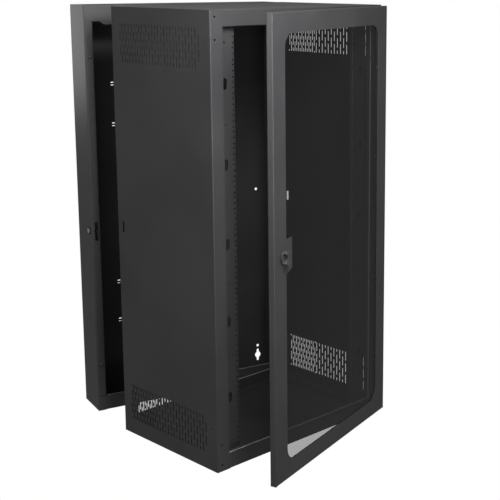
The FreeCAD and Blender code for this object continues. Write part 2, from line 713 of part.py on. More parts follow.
def side_panel_left():
    """Flat perforated side sheet with two vents, a latch window and rivet holes."""
    panel = box(0, SHEET, 0, BODY_D, 0, BODY_H)
    cuts = vent_cutters(-CUT, CUT + SHEET, VENT_FROM_END, 1)
    cuts += vent_cutters(-CUT, CUT + SHEET, BODY_H - VENT_FROM_END, -1)
    cuts.append(side_window(-CUT, CUT + SHEET))
    for z in rivet_heights():
        cuts.append(rod(RIVET_R + RUNNING, V(-CUT, SIDE_RIVET_Y, z), V(CUT + SHEET, SIDE_RIVET_Y, z)))
    return panel.cut(cuts)


def side_window(x0, x1):
    """Window at mid height through the side and the rear stile's hem."""
    y = BODY_D - SIDE_WINDOW_FROM_BACK
    return box(x0, x1, y - SIDE_WINDOW_W / 2, y + SIDE_WINDOW_W / 2,
               (BODY_H - SIDE_WINDOW_H) / 2, (BODY_H + SIDE_WINDOW_H) / 2)


def rivet_heights():
    return list(SIDE_RIVET_Z) + [BODY_H - z for z in SIDE_RIVET_Z]


def side_panel_right():
    return mirror_x(side_panel_left(), BODY_W).cut([corner_notch(z) for z in section_ear_heights()])


def section_ear_heights():
    """Underside of each hinge ear, up from the rack section's underside."""
    return [z - BODY_TO_SECTION_Z for z in ear_heights()]


def corner_notch(z):
    """Room in the rack section's rear right corner for a hinge ear over its whole swing."""
    reach = EAR_R + EAR_SIDE_ROOM
    return box(SWING_X - reach, BODY_W + CUT, SWING_Y - reach, BODY_D + CUT,
               z - EAR_END_ROOM, z + EAR_SHEET + EAR_END_ROOM)


def front_stile_left():
    """Front stile: hem inside the side panel, front face and the return with its cable slots."""
    mid = SHEET / 2
    x0 = SHEET + mid
    path = [(x0, STILE_HEM), (x0, mid), (STILE_W - mid, mid), (STILE_W - mid, STILE_RETURN)]
    stile = folded(path, SHEET, V(0, 0, BODY_H - 2 * SHEET), lambda x, y: V(x, y, SHEET))
    cuts = []
    for z in rivet_heights():
        cuts.append(rod(RIVET_R + RUNNING, V(0, SIDE_RIVET_Y, z), V(3 * SHEET, SIDE_RIVET_Y, z)))
    for z in hinge_screw_heights():
        cuts.append(rod(SCREW_R + LOOSE, V(HINGE_SCREW_X, -CUT, z), V(HINGE_SCREW_X, 3 * SHEET, z)))
    cuts.append(box(STILE_W - 2 * SHEET, STILE_W + CUT,
                    LATCH_CAM_Y - CAM_ROOM, LATCH_CAM_Y + LATCH_CAM_T + CAM_ROOM,
                    LATCH_UP - LATCH_CAM_L, LATCH_UP + LATCH_CAM_L))
    return stile.cut(cuts)


def hinge_screw_heights():
    """Hinge bracket holes in both stiles, so that the door can hang on either side."""
    return [HINGE_SCREW_LOW, HINGE_SCREW_HIGH, BODY_H - HINGE_SCREW_LOW, BODY_H - HINGE_SCREW_HIGH]


def front_stile_right():
    return mirror_x(front_stile_left(), BODY_W)


def rear_stile_left():
    """Rear edge of the side: a hem on the side panel and a flange across the back."""
    mid = SHEET / 2
    x0 = SHEET + mid
    path = [(x0, BODY_D - STILE_HEM), (x0, BODY_D - mid), (REAR_STILE_W, BODY_D - mid)]
    stile = folded(path, SHEET, V(0, 0, BODY_H - 2 * SHEET), lambda x, y: V(x, y, SHEET))
    hook_x = LOCK_CAM_X - (WALL_W - SWING_SIDE_STEP - BODY_W)
    z = LOCK_Z - BODY_TO_SECTION_Z
    slot = box(hook_x - HOOK_ROOM, hook_x + LOCK_CAM_T + HOOK_ROOM, BODY_D - 3 * SHEET, BODY_D + CUT,
               z - LOCK_SLOT_H / 2, z + LOCK_SLOT_H / 2)
    return stile.cut([side_window(0, 3 * SHEET), slot])


def rear_stile_right():
    return mirror_x(rear_stile_left(), BODY_W).cut([corner_notch(z) for z in section_ear_heights()])


def end_sheet(front_height):
    """Bottom sheet with its front rail and its rear rail, drawn on the underside."""
    mid = SHEET / 2
    width = BODY_W - 2 * STILE_W
    path = [(FRONT_RAIL_LIP, front_height - mid), (mid, front_height - mid), (mid, mid),
            (BODY_D - mid, mid), (BODY_D - mid, REAR_RAIL_H)]
    middle = folded(path, SHEET, V(width, 0, 0), lambda y, z: V(STILE_W, y, z))
    ends = [box(SHEET, STILE_W, 0, BODY_D, 0, SHEET),
            box(BODY_W - STILE_W, BODY_W - SHEET, 0, BODY_D, 0, SHEET)]
    return fuse([middle] + ends)


def bottom_panel():
    return end_sheet(FRONT_RAIL_BOTTOM)


def top_panel():
    return end_sheet(FRONT_RAIL_TOP).mirror(V(0, 0, BODY_H / 2), V(0, 0, 1))


def rail_channel(left, low):
    """Front-to-back channel in a corner of the box, with slots for the rail's bolts."""
    t = CHANNEL_SHEET
    x0 = 2 * SHEET + t / 2
    x1 = 2 * SHEET + CHANNEL_W - t / 2
    crown = FOOT_Z - t / 2
    path = [(x0, SHEET), (x0, crown), (x1, crown), (x1, SHEET)]
    y0 = STILE_HEM + FLANGE_GAP
    y1 = BODY_D - STILE_HEM - FLANGE_GAP
    channel = folded(path, t, V(0, y1 - y0, 0), lambda x, z: V(x, y0, z))
    cuts = []
    for k in range(CHANNEL_SLOTS):
        y = y0 + CHANNEL_SLOT_FIRST + k * CHANNEL_SLOT_PITCH
        cuts.append(box(FOOT_BOLT_X - CHANNEL_SLOT_W / 2, FOOT_BOLT_X + CHANNEL_SLOT_W / 2,
                        y, y + CHANNEL_SLOT_L, 0, 2 * CHANNEL_H))
    channel = channel.cut(cuts)
    if not low:
        channel = channel.mirror(V(0, 0, BODY_H / 2), V(0, 0, 1))
    return channel if left else mirror_x(channel, BODY_W)


def rail_foot(low):
    """Angle foot that ties a rail to its channel."""
    x0 = 2 * SHEET + CHANNEL_SHEET
    x1 = RAIL_X0 + RAIL_SHEET
    y0 = RAIL_SETBACK + RAIL_SHEET + FOOT_BEHIND
    y1 = y0 + FOOT_D
    base = box(x0, x1 + FOOT_TOE, y0, y1, FOOT_Z, FOOT_Z + CHANNEL_SHEET)
    wall = box(x1, x1 + CHANNEL_SHEET, y0, y1, FOOT_Z, FOOT_Z + FOOT_H)
    bolt = V(FOOT_BOLT_X, FOOT_BOLT_Y, FOOT_Z)
    hole = rod(SCREW_R + LOOSE, bolt - V(0, 0, CUT), bolt + V(0, 0, CHANNEL_SHEET + CUT))
    foot = fuse([base, wall]).cut([hole, web_bolt_hole()])
    return foot if low else foot.mirror(V(0, 0, BODY_H / 2), V(0, 0, 1))


def web_bolt_hole():
    """Clearance hole for the bolt through a rail's web and its foot."""
    start = V(RAIL_X0, FOOT_BOLT_Y, FOOT_Z + FOOT_BOLT_UP)
    return rod(SCREW_R + LOOSE, start - V(CUT, 0, 0), start + V(2 * (RAIL_SHEET + CHANNEL_SHEET), 0, 0))


def rail_feet(left):
    feet = group([rail_foot(True), rail_foot(False)])
    return feet if left else mirror_x(feet, BODY_W)


def rail_bolts():
    """Bolts through the feet into the channels and through the rails' webs into the feet."""
    bolts = []
    for low in (True, False):
        down = screw(V(FOOT_BOLT_X, FOOT_BOLT_Y, FOOT_Z + CHANNEL_SHEET), V(0, 0, -1), RAIL_BOLT_L)
        side = screw(V(RAIL_X0, FOOT_BOLT_Y, FOOT_Z + FOOT_BOLT_UP), V(1, 0, 0), RAIL_BOLT_L)
        for bolt in (down, side):
            bolts.append(bolt if low else bolt.mirror(V(0, 0, BODY_H / 2), V(0, 0, 1)))
    return group(bolts + [mirror_x(bolt, BODY_W) for bolt in bolts])


def rack_rail_left():
    """Channel-shaped rack rail with its tapped hole column, tie slots and pilot holes."""
    t = RAIL_SHEET
    path = [(RAIL_X0 + t / 2, RAIL_SETBACK + RAIL_WEB), (RAIL_X0 + t / 2, RAIL_SETBACK + t / 2),
            (RAIL_X1 - t / 2, RAIL_SETBACK + t / 2), (RAIL_X1 - t / 2, RAIL_SETBACK + RAIL_LIP)]
    rail = folded(path, t, V(0, 0, RAIL_Z1 - RAIL_Z0), lambda x, y: V(x, y, RAIL_Z0))
    through = V(0, 3 * t, 0)
    y = RAIL_SETBACK - t
    cuts = []
    for u in range(RACK_UNITS):
        for step in UNIT_HOLES:
            start = V(HOLE_X, y, UNIT_Z0 + u * UNIT + step)
            cuts.append(rod(RAIL_HOLE_R, start, start + through))
    ties = int((RAIL_Z1 - RAIL_Z0) / TIE_PITCH)
    for k in range(ties):
        centre = V(TIE_FROM_SIDE, RAIL_SETBACK + t / 2, BODY_H - TIE_SLOT_FIRST - k * TIE_PITCH)
        cuts.append(slot_cutter(TIE_SLOT_H, TIE_SLOT_W / 2, centre, through))
        start = V(TIE_FROM_SIDE, y, BODY_H - TIE_HOLE_FIRST - k * TIE_PITCH)
        cuts.append(rod(RAIL_HOLE_R, start, start + through))
    web_hole = web_bolt_hole()
    cuts += [web_hole, web_hole.mirror(V(0, 0, BODY_H / 2), V(0, 0, 1))]
    return rail.cut(cuts)


def rack_rail_right():
    return mirror_x(rack_rail_left(), BODY_W)


def frame_rivets():
    """Rivets that hold the side panels to the front stiles."""
    rivets = []
    for z in rivet_heights():
        head = rod(RIVET_R + RIVET_RIM, V(-RIVET_HEAD_H, SIDE_RIVET_Y, z), V(0, SIDE_RIVET_Y, z))
        shank = rod(RIVET_R, V(0, SIDE_RIVET_Y, z), V(3 * SHEET, SIDE_RIVET_Y, z))
        rivets.append(fuse([head, shank]))
    return group(rivets + [mirror_x(rivet, BODY_W) for rivet in rivets])


def swing_pin_z(low):
    """Tip of a hinge pin and its sense along z: the pins point away from mid height."""
    ear = section_ear_heights()[0 if low else 1]
    return (ear - SWING_PIN_TIP, 1) if low else (ear + EAR_SHEET + SWING_PIN_TIP, -1)


def swing_pin(low):
    """Spring-loaded pin: its tip stands in the ear, its collar rests on the housing's plate."""
    tip, sense = swing_pin_z(low)
    up = lambda height: V(SWING_X, SWING_Y, tip + sense * height)
    seat = HOUSING_NEAR + HOUSING_SHEET + RUNNING
    grip = SWING_PIN_L - 2 * SWING_HANDLE_R
    shaft = rod(SWING_PIN_R, up(0), up(SWING_PIN_L))
    collar = rod(SWING_COLLAR_R, up(seat), up(seat + SWING_COLLAR_T))
    handle = rod(SWING_HANDLE_R, up(grip) + V(SWING_PIN_R / 2, 0, 0), up(grip) - V(SWING_HANDLE_L, 0, 0))
    return fuse([shaft, collar, handle])


def swing_housing(low):
    """U bracket on the rear stile that guides a hinge pin."""
    tip, sense = swing_pin_z(low)
    t = HOUSING_SHEET
    x0 = SWING_X - HOUSING_REACH
    x1 = BODY_W - 2 * SHEET
    y0 = SWING_Y - HOUSING_AHEAD
    y1 = BODY_D - SHEET
    near = tip + sense * HOUSING_NEAR
    far = tip + sense * HOUSING_FAR
    plates = []
    for z in (near, far):
        low_z, high_z = sorted((z, z + sense * t))
        plates.append(box(x0, x1, y0, y1, low_z, high_z))
    back_low, back_high = sorted((near, far + sense * t))
    plates.append(box(x0, x1, y0 - t, y0, back_low, back_high))
    foot = V(SWING_X, SWING_Y, back_low - CUT)
    bore = rod(SWING_PIN_R + RUNNING, foot, foot + V(0, 0, back_high - back_low + 2 * CUT))
    return fuse(plates).cut([bore, rear_stile_right()])


def swing_housings():
    return group([swing_housing(True), swing_housing(False)])


# ---------------------------------------------------------------- door
def window_outline(grow, y):
    """Window with rounded corners and the latch tab, as a face grown by a margin."""
    x0 = DOOR_X0 + WINDOW_FREE - grow
    x1 = BODY_W - WINDOW_HINGE + grow
    z0 = DOOR_Z0 + WINDOW_BOTTOM - grow
    z1 = DOOR_Z1 - WINDOW_TOP + grow
    r = WINDOW_R + grow
    c = r * (1 - math.sqrt(0.5))
    tab_x = x0 + TAB_W
    low = DOOR_Z0 + TAB_BOTTOM + grow
    high = DOOR_Z0 + TAB_TOP - grow
    steps = [
        (x0, z0 + r), (x0, low), (tab_x, low + TAB_CHAMFER), (tab_x, high), (x0, high), (x0, z1 - r),
        ((x0 + c, z1 - c), (x0 + r, z1)), (x1 - r, z1),
        ((x1 - c, z1 - c), (x1, z1 - r)), (x1, z0 + r),
        ((x1 - c, z0 + c), (x1 - r, z0)), (x0 + r, z0),
        ((x0 + c, z0 + c), (x0, z0 + r)),
    ]
    at = lambda p: V(p[0], y, p[1])
    edges = []
    last = steps[0]
    for step in steps[1:]:
        if isinstance(step[0], tuple):
            edges.append(Part.Arc(at(last), at(step[0]), at(step[1])).toShape())
            last = step[1]
        else:
            edges.append(Part.LineSegment(at(last), at(step)).toShape())
            last = step
    return Part.Face(Part.Wire(edges))


def door_panel():
    """Folded door: face sheet, four edge flanges, return lips and the window."""
    mid = SHEET / 2
    x0 = DOOR_X0
    x1 = BODY_W
    r = BEND + SHEET
    face = box(x0 + r, x1 - r, DOOR_FACE, DOOR_FACE + SHEET, DOOR_Z0 + r, DOOR_Z1 - r)
    face = face.cut(window_outline(0, DOOR_FACE - 1).extrude(V(0, SHEET + 2, 0)))
    free = folded([(x0 + DOOR_LIP, DOOR_BACK - mid), (x0 + mid, DOOR_BACK - mid),
                   (x0 + mid, DOOR_FACE + mid), (x0 + r, DOOR_FACE + mid)],
                  SHEET, V(0, 0, DOOR_Z1 - DOOR_Z0), lambda x, y: V(x, y, DOOR_Z0))
    hinge = folded([(x1 - mid, DOOR_FACE + DOOR_HINGE_EDGE), (x1 - mid, DOOR_FACE + mid),
                    (x1 - r, DOOR_FACE + mid)],
                   SHEET, V(0, 0, DOOR_Z1 - DOOR_Z0), lambda x, y: V(x, y, DOOR_Z0))
    span = V(x1 - x0 - 2 * r, 0, 0)
    ends = []
    for z, s in ((DOOR_Z0, 1), (DOOR_Z1, -1)):
        path = [(DOOR_BACK - mid, z + s * DOOR_LIP), (DOOR_BACK - mid, z + s * mid),
                (DOOR_FACE + mid, z + s * mid), (DOOR_FACE + mid, z + s * r)]
        strip = folded(path, SHEET, span, lambda y, zz: V(x0 + r, y, zz))
        ends.append(strip)
        low, high = sorted((z, z + s * SHEET))
        ends.append(box(x0 + SHEET, x0 + r, DOOR_FACE + r, DOOR_BACK, low, high))
        ends.append(box(x1 - r, x1 - SHEET, DOOR_FACE + r, DOOR_FACE + DOOR_HINGE_EDGE, low, high))
    door = fuse([face, free, hinge] + ends)
    latch = rod(SLEEVE_R + RUNNING, latch_point(DOOR_FACE - CUT), latch_point(DOOR_FACE + 2 * SHEET))
    bushes = [rod(BUSH_R, door_pivot(z - 2 * SHEET), door_pivot(z + 2 * SHEET)) for z in (DOOR_Z0, DOOR_Z1)]
    # the end flanges' lips stop short of the hinge brackets
    lip_y = DOOR_FACE + DOOR_HINGE_EDGE
    lips = [box(BRACKET_X0 - LIP_ROOM, x1 + CUT, lip_y, 0, low, low + DOOR_LIP + 2 * CUT)
            for low in (DOOR_Z0 - CUT, DOOR_Z1 - DOOR_LIP - CUT)]
    notch = box(DOOR_PIVOT_X + EAR_NOTCH_IN, x1 + CUT, DOOR_PIVOT_Y - EAR_NOTCH_AHEAD, 0,
                TOP_EAR_Z - BRACKET_T - EAR_END_ROOM, TOP_EAR_Z + EAR_END_ROOM)
    return door.cut([latch, notch] + bushes + lips)


def door_pivot(z):
    return V(DOOR_PIVOT_X, DOOR_PIVOT_Y, z)


def latch_point(y):
    return V(LATCH_X, y, LATCH_UP)


def door_window():
    """Tinted pane behind the face sheet."""
    pane = box(PANE_X0, PANE_X1, PANE_Y, PANE_Y + PANE_T, PANE_Z0, PANE_Z1)
    tab = box(PANE_X0 - CUT, PANE_X0 + PANE_TAB_IN, PANE_Y - CUT, PANE_Y + PANE_T + CUT,
              LATCH_UP - PANE_TAB_HALF, LATCH_UP + PANE_TAB_HALF)
    return pane.cut(tab)


def window_retainer(side):
    """One of four angles that clamp the pane to the face sheet."""
    t = RETAINER_T
    y = PANE_Y + PANE_T
    depth = y + RETAINER_DEPTH
    inner = RETAINER_LEG + RETAINER_MITRE
    edge = {"left": PANE_X0, "right": PANE_X1, "bottom": PANE_Z0, "top": PANE_Z1}[side]
    sense = 1 if side in ("left", "bottom") else -1
    corner = edge + sense * t / 2
    path = [(edge + sense * RETAINER_LEG, y + t / 2), (corner, y + t / 2), (corner, depth)]
    if side in ("left", "right"):
        run = V(0, 0, PANE_Z1 - PANE_Z0 - 2 * inner)
        strip = folded(path, t, run, lambda x, back: V(x, back, PANE_Z0 + inner))
        if side == "left":
            strip = strip.cut(box(PANE_X0 - CUT, PANE_X0 + RETAINER_TAB_IN, y - CUT, depth + CUT,
                                  LATCH_UP - RETAINER_TAB_HALF, LATCH_UP + RETAINER_TAB_HALF))
        return strip
    run = V(PANE_X1 - PANE_X0, 0, 0)
    path = [(back, z) for z, back in path]
    return folded(path, t, run, lambda back, z: V(PANE_X0, back, z))


def retainer_nuts():
    """Acorn nuts on the studs that clamp the retainers."""
    nuts = []
    y = PANE_Y + PANE_T + RETAINER_T
    x0 = PANE_X0 + RETAINER_NUT_IN
    x1 = PANE_X1 - RETAINER_NUT_IN
    z0 = PANE_Z0 + RETAINER_NUT_IN
    z1 = PANE_Z1 - RETAINER_NUT_IN
    spots = [(x, z) for x in (x0, x1) for z in [z0 + k * (z1 - z0) for k in NUT_ROWS]]
    spots += [(x, z) for z in (z0, z1) for x in [x0 + k * (x1 - x0) for k in NUT_COLUMNS]]
    for x, z in spots:
        nuts.append(rod(RETAINER_NUT_R, V(x, y, z), V(x, y + RETAINER_NUT_H, z)))
    return group(nuts)


def door_bracket(low):
    """Hinge bracket: a leg screwed to the stile and an ear under or inside the door."""
    t = BRACKET_T
    x1 = BODY_W - 2 * SHEET
    high = LOW_EAR_Z if low else TOP_EAR_Z
    leg_z = (high - t, BRACKET_LEG) if low else (BODY_H - BRACKET_LEG, high)
    leg = box(BRACKET_X0, x1, -t, 0, leg_z[0], leg_z[1])
    ear_x1 = x1 - DOOR_EAR_INSET
    reach = ear_x1 - DOOR_PIVOT_X
    ear_x0 = DOOR_PIVOT_X - reach - t
    ear = box(ear_x0, ear_x1, DOOR_PIVOT_Y, 0, high - t, high)
    nose = rod(reach, door_pivot(high - t), door_pivot(high))
    tail = box(ear_x0, DOOR_PIVOT_X, DOOR_PIVOT_Y - t, DOOR_PIVOT_Y, high - t, high)
    bore = rod(DOOR_PIN_R + (0 if low else RUNNING), door_pivot(high - t - CUT), door_pivot(high + CUT))
    heights = (HINGE_SCREW_LOW, HINGE_SCREW_HIGH)
    holes = []
    for z in heights if low else [BODY_H - h for h in heights]:
        seat = V(BODY_W - HINGE_SCREW_X, -t, z)
        holes.append(rod(SCREW_R + LOOSE, seat - V(0, CUT, 0), seat + V(0, t + CUT, 0)))
    return fuse([leg, ear, nose, tail]).cut([bore] + holes)


def door_brackets():
    return group([door_bracket(True), door_bracket(False)])


def bracket_screws():
    screws = []
    for z in hinge_screw_heights():
        screws.append(screw(V(BODY_W - HINGE_SCREW_X, -BRACKET_T, z), V(0, 1, 0), BRACKET_SCREW_L))
    return group(screws)


def door_pin_low():
    """Fixed lower pin: pressed in the bracket's ear, it carries the door on a washer."""
    z0 = LOW_EAR_Z - BRACKET_T
    foot = rod(DOOR_PIN_FOOT_R, door_pivot(z0 - DOOR_PIN_FOOT_T), door_pivot(z0))
    shank = rod(DOOR_PIN_R, door_pivot(z0), door_pivot(DOOR_Z0 + DOOR_PIN_UP))
    return fuse([foot, shank])


def door_washer():
    """Nylon washer between the lower ear and the door."""
    washer = rod(WASHER_R, door_pivot(LOW_EAR_Z), door_pivot(LOW_EAR_Z + WASHER_T))
    return washer.cut(rod(DOOR_PIN_R + RUNNING, door_pivot(LOW_EAR_Z - CUT), door_pivot(DOOR_Z0 + CUT)))


def door_bushings():
    """Nylon bushings in the door's two end flanges."""
    bushes = []
    for z, s in ((DOOR_Z0, 1), (DOOR_Z1, -1)):
        seat = z + s * SHEET
        end = seat + s * BUSH_FLANGE_T
        collar = rod(BUSH_R, door_pivot(z), door_pivot(seat))
        flange = rod(BUSH_R + BUSH_FLANGE, door_pivot(seat), door_pivot(end))
        bore = rod(DOOR_PIN_R + RUNNING, door_pivot(z - s * CUT), door_pivot(end + s * CUT))
        bushes.append(fuse([collar, flange]).cut(bore))
    return group(bushes)


def door_pin_top():
    """Spring-loaded upper pin: pulled down by its handle, it frees the door."""
    tip = DOOR_Z1 - PIN_DROP
    shaft = rod(DOOR_PIN_R, door_pivot(tip), door_pivot(tip - PIN_L))
    collar = rod(PIN_COLLAR_R, door_pivot(tip - PIN_COLLAR), door_pivot(tip - PIN_COLLAR - PIN_COLLAR_T))
    grip = door_pivot(tip - PIN_GRIP)
    handle = rod(PIN_GRIP_R, grip, grip - V(PIN_GRIP_L, 0, 0))
    return fuse([shaft, collar, handle])


def door_pin_guide():
    """U bracket on the door's hinge edge that guides the upper pin."""
    x0 = DOOR_PIVOT_X - GUIDE_REACH
    x1 = BODY_W - SHEET
    y0 = DOOR_FACE + SHEET + BEND
    y1 = DOOR_PIVOT_Y + GUIDE_BACK
    t = GUIDE_T
    high = DOOR_Z1 - GUIDE_HIGH
    low = DOOR_Z1 - GUIDE_LOW
    plates = [box(x0, x1, y0, y1, high - t, high), box(x0, x1, y0, y1, low, low + t),
              box(x0, x1, y0, y0 + t, low, high)]
    bore = rod(DOOR_PIN_R + RUNNING, door_pivot(low - CUT), door_pivot(high + CUT))
    return fuse(plates).cut(bore)


def latch_housing():
    """Sleeve through the face sheet that the knob's spindle turns in."""
    front = DOOR_FACE - LATCH_COLLAR_T
    back = DOOR_FACE + LATCH_SLEEVE_L
    collar = rod(LATCH_COLLAR_R, latch_point(front), latch_point(DOOR_FACE))
    sleeve = rod(SLEEVE_R, latch_point(DOOR_FACE), latch_point(back))
    bore = rod(SPINDLE_R + RUNNING, latch_point(front - CUT), latch_point(back + CUT))
    return fuse([collar, sleeve]).cut(bore)


def latch_nut():
    nut = hexagon(latch_point(DOOR_FACE + SHEET), V(0, 1, 0), LATCH_NUT_W, LATCH_NUT_T)
    return nut.cut(rod(SLEEVE_R + RUNNING, latch_point(DOOR_FACE), latch_point(DOOR_FACE + LATCH_SLEEVE_L)))


def latch_knob():
    """Round quarter-turn knob with two scoops that leave a grip rib between them."""
    foot = DOOR_FACE - KNOB_GAP
    body = rod(KNOB_R, latch_point(foot), latch_point(foot - KNOB_H))
    front = [e for e in body.Edges if abs(e.BoundBox.YMax - (foot - KNOB_H)) < NEAR]
    body = body.makeFillet(KNOB_EDGE, front)
    scoops = []
    for side in (-1, 1):
        start = latch_point(foot - KNOB_BASE) + V(side * KNOB_R * SCOOP_OUT, 0, 0)
        scoops.append(rod(KNOB_R * SCOOP_R, start, start - V(0, KNOB_H, 0)))
    socket = rod(NECK_R, latch_point(foot + CUT), latch_point(foot - KNOB_SOCKET))
    return body.cut(scoops + [socket])


def latch_spindle():
    """Spindle from the knob to the square end that drives the cam."""
    foot = DOOR_FACE - KNOB_GAP
    neck = rod(NECK_R, latch_point(foot), latch_point(foot - KNOB_SOCKET))
    shaft = rod(SPINDLE_R, latch_point(foot), latch_point(LATCH_CAM_Y))
    return fuse([neck, shaft, latch_square(LATCH_CAM_Y, LATCH_CAM_Y + LATCH_CAM_T)])


def latch_square(y0, y1):
    half = LATCH_SQUARE / 2
    return box(LATCH_X - half, LATCH_X + half, y0, y1, LATCH_UP - half, LATCH_UP + half)


def latch_cam():
    """Cam that swings behind the front stile; unlatched, it hangs straight down."""
    half = LATCH_CAM_W / 2
    y = LATCH_CAM_Y
    low = LATCH_UP - LATCH_CAM_L
    plate = box(LATCH_X - half, LATCH_X + half, y, y + LATCH_CAM_T, low + half, LATCH_UP)
    tip = rod(half, V(LATCH_X, y, low + half), V(LATCH_X, y + LATCH_CAM_T, low + half))
    hub = rod(half, V(LATCH_X, y, LATCH_UP), V(LATCH_X, y + LATCH_CAM_T, LATCH_UP))
    return fuse([plate, tip, hub]).cut(latch_square(y - CUT, y + LATCH_CAM_T + CUT))


def latch_cam_nut():
    return hexagon(latch_point(LATCH_CAM_Y + LATCH_CAM_T), V(0, 1, 0), CAM_NUT_W, CAM_NUT_T)


# ---------------------------------------------------------------- nodes
WALL_NODES = {
    "rear_back_panel": rear_back_panel,
    "rear_side_left": lock_side_left,
    "rear_side_right": rear_side_right,
    "rear_top": rear_top,
    "rear_bottom": rear_bottom,
    "lacing_bridges": lacing_bridges,
    "rear_bumpers": rear_bumpers,
    "swing_hinge_ears": swing_ears,
    "swing_ear_rivets": swing_ear_rivets,
    "rear_lock_plate": rear_lock_plate,
    "rear_lock_housing": rear_lock_housing,
    "rear_lock_nut": rear_lock_nut,
    "rear_lock_plug": rear_lock_plug,
    "rear_lock_hook": rear_lock_hook,
    "rear_lock_screw": rear_lock_screw,
}
BODY_NODES = {
    "side_panel_left": side_panel_left,
    "side_panel_right": side_panel_right,
    "front_stile_left": front_stile_left,
    "front_stile_right": front_stile_right,
    "rear_stile_left": rear_stile_left,
    "rear_stile_right": rear_stile_right,
    "top_panel": top_panel,
    "bottom_panel": bottom_panel,
    "rail_channel_bottom_left": lambda: rail_channel(True, True),
    "rail_channel_bottom_right": lambda: rail_channel(False, True),
    "rail_channel_top_left": lambda: rail_channel(True, False),
    "rail_channel_top_right": lambda: rail_channel(False, False),
    "rail_feet_left": lambda: rail_feet(True),
    "rail_feet_right": lambda: rail_feet(False),
    "rack_rail_left": rack_rail_left,
    "rack_rail_right": rack_rail_right,
    "rail_bolts": rail_bolts,
    "frame_rivets": frame_rivets,
    "swing_pin_housings": swing_housings,
    "swing_pin_bottom": lambda: swing_pin(True),
    "swing_pin_top": lambda: swing_pin(False),
    "door_hinge_brackets": door_brackets,
    "door_bracket_screws": bracket_screws,
    "door_pin_bottom": door_pin_low,
    "door_washer": door_washer,
}
DOOR_NODES = {
    "door_panel": door_panel,
    "door_window": door_window,
    "window_retainer_left": lambda: window_retainer("left"),
    "window_retainer_right": lambda: window_retainer("right"),
    "window_retainer_top": lambda: window_retainer("top"),
    "window_retainer_bottom": lambda: window_retainer("bottom"),
    "retainer_nuts": retainer_nuts,
    "door_bushings": door_bushings,
    "door_pin_guide": door_pin_guide,
    "door_pin_top": door_pin_top,
    "latch_housing": latch_housing,
    "latch_nut": latch_nut,
    "latch_knob": latch_knob,
    "latch_spindle": latch_spindle,
    "latch_cam": latch_cam,
    "latch_cam_nut": latch_cam_nut,
}

os.makedirs("parts", exist_ok=True)
for nodes, place in ((WALL_NODES, place_wall), (BODY_NODES, place_body), (DOOR_NODES, place_door)):
    for name, make in nodes.items():
        shape = place(make())
        print(name, len(shape.Solids), shape.isValid(), round(shape.Volume))
        shape.exportStep(f"parts/{name}.step")
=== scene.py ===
"""Wall mount rack cabinet: finishes, fixings, welds, edges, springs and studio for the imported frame."""
import json
import math
import bmesh
import bpy
from mathutils import Matrix, Vector


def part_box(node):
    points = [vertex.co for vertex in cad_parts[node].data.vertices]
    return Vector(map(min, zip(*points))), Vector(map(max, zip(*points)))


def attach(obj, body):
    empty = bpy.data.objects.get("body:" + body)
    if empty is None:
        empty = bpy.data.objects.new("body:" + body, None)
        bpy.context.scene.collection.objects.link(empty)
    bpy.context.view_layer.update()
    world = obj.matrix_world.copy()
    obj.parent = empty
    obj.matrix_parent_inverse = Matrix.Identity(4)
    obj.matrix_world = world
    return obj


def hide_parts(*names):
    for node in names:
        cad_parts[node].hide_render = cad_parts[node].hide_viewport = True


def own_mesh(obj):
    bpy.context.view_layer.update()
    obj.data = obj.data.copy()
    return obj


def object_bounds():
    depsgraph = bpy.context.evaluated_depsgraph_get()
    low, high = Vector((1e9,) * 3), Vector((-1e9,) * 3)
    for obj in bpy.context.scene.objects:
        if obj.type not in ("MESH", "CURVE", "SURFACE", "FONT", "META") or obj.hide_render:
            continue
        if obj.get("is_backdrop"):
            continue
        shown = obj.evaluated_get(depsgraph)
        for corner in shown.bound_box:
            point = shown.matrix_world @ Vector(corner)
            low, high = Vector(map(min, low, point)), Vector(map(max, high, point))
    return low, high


bl_info = {
    "name": "Wall Mount Rack Cabinet",
    "version": (1, 0, 0),
    "blender": (4, 5, 0),
    "location": "View3D > Sidebar > Cabinet",
    "description": "Dresses a swing-out wall mount rack cabinet in powder coat, zinc, acrylic and nylon",
    "category": "Object",
}

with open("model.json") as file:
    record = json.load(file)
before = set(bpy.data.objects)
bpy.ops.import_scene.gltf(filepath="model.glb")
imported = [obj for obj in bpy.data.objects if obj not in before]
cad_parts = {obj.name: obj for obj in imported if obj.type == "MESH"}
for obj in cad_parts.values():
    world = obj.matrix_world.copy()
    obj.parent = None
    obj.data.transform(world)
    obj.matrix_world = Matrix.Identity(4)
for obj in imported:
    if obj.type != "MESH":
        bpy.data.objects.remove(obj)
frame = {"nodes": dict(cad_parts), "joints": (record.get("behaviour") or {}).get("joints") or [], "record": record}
NODES = frame["nodes"]
JOINTS = {joint["name"]: joint for joint in frame["joints"]}
SLOTS = {part["node"]: part["material_slot"] for part in frame["record"]["subparts"]}
MM = 0.001
UP = Vector((0.0, 0.0, 1.0))
WHITE = (1.0, 1.0, 1.0, 1.0)
SAME_POINT = 1e-6               # points closer than this, in metres, are one
ON_FACE = 0.1 * MM              # how far a point of a flat face may lie from it
BEND = 3.0 * MM                 # outer radius of the sheet's bends
BEND_DEPTH = 4.0 * MM           # a rounded bend lies within this of the face it starts from
SMOOTH_ANGLE = math.radians(35)  # edges sharper than this stay crisp

# the camera's sensor in millimetres and the reach of its view in metres
FULL_FRAME = 36.0
NEAREST, FARTHEST = 0.05, 50.0

# facets round each turned shape
RIVET_FACETS = 28
SCREW_FACETS = 32
BUMPER_FACETS = 28
NUT_SIDES = 6
NUT_DOME_FACETS = 24
EDGE_FACETS = 16

# the cabinet is stored partly open, so the closed pose is each hinge's lower limit
CABINET_TURN = math.radians(-JOINTS["cabinet_swing"]["range_deg"][0])
DOOR_TURN = CABINET_TURN - math.radians(JOINTS["door_swing"]["range_deg"][0])


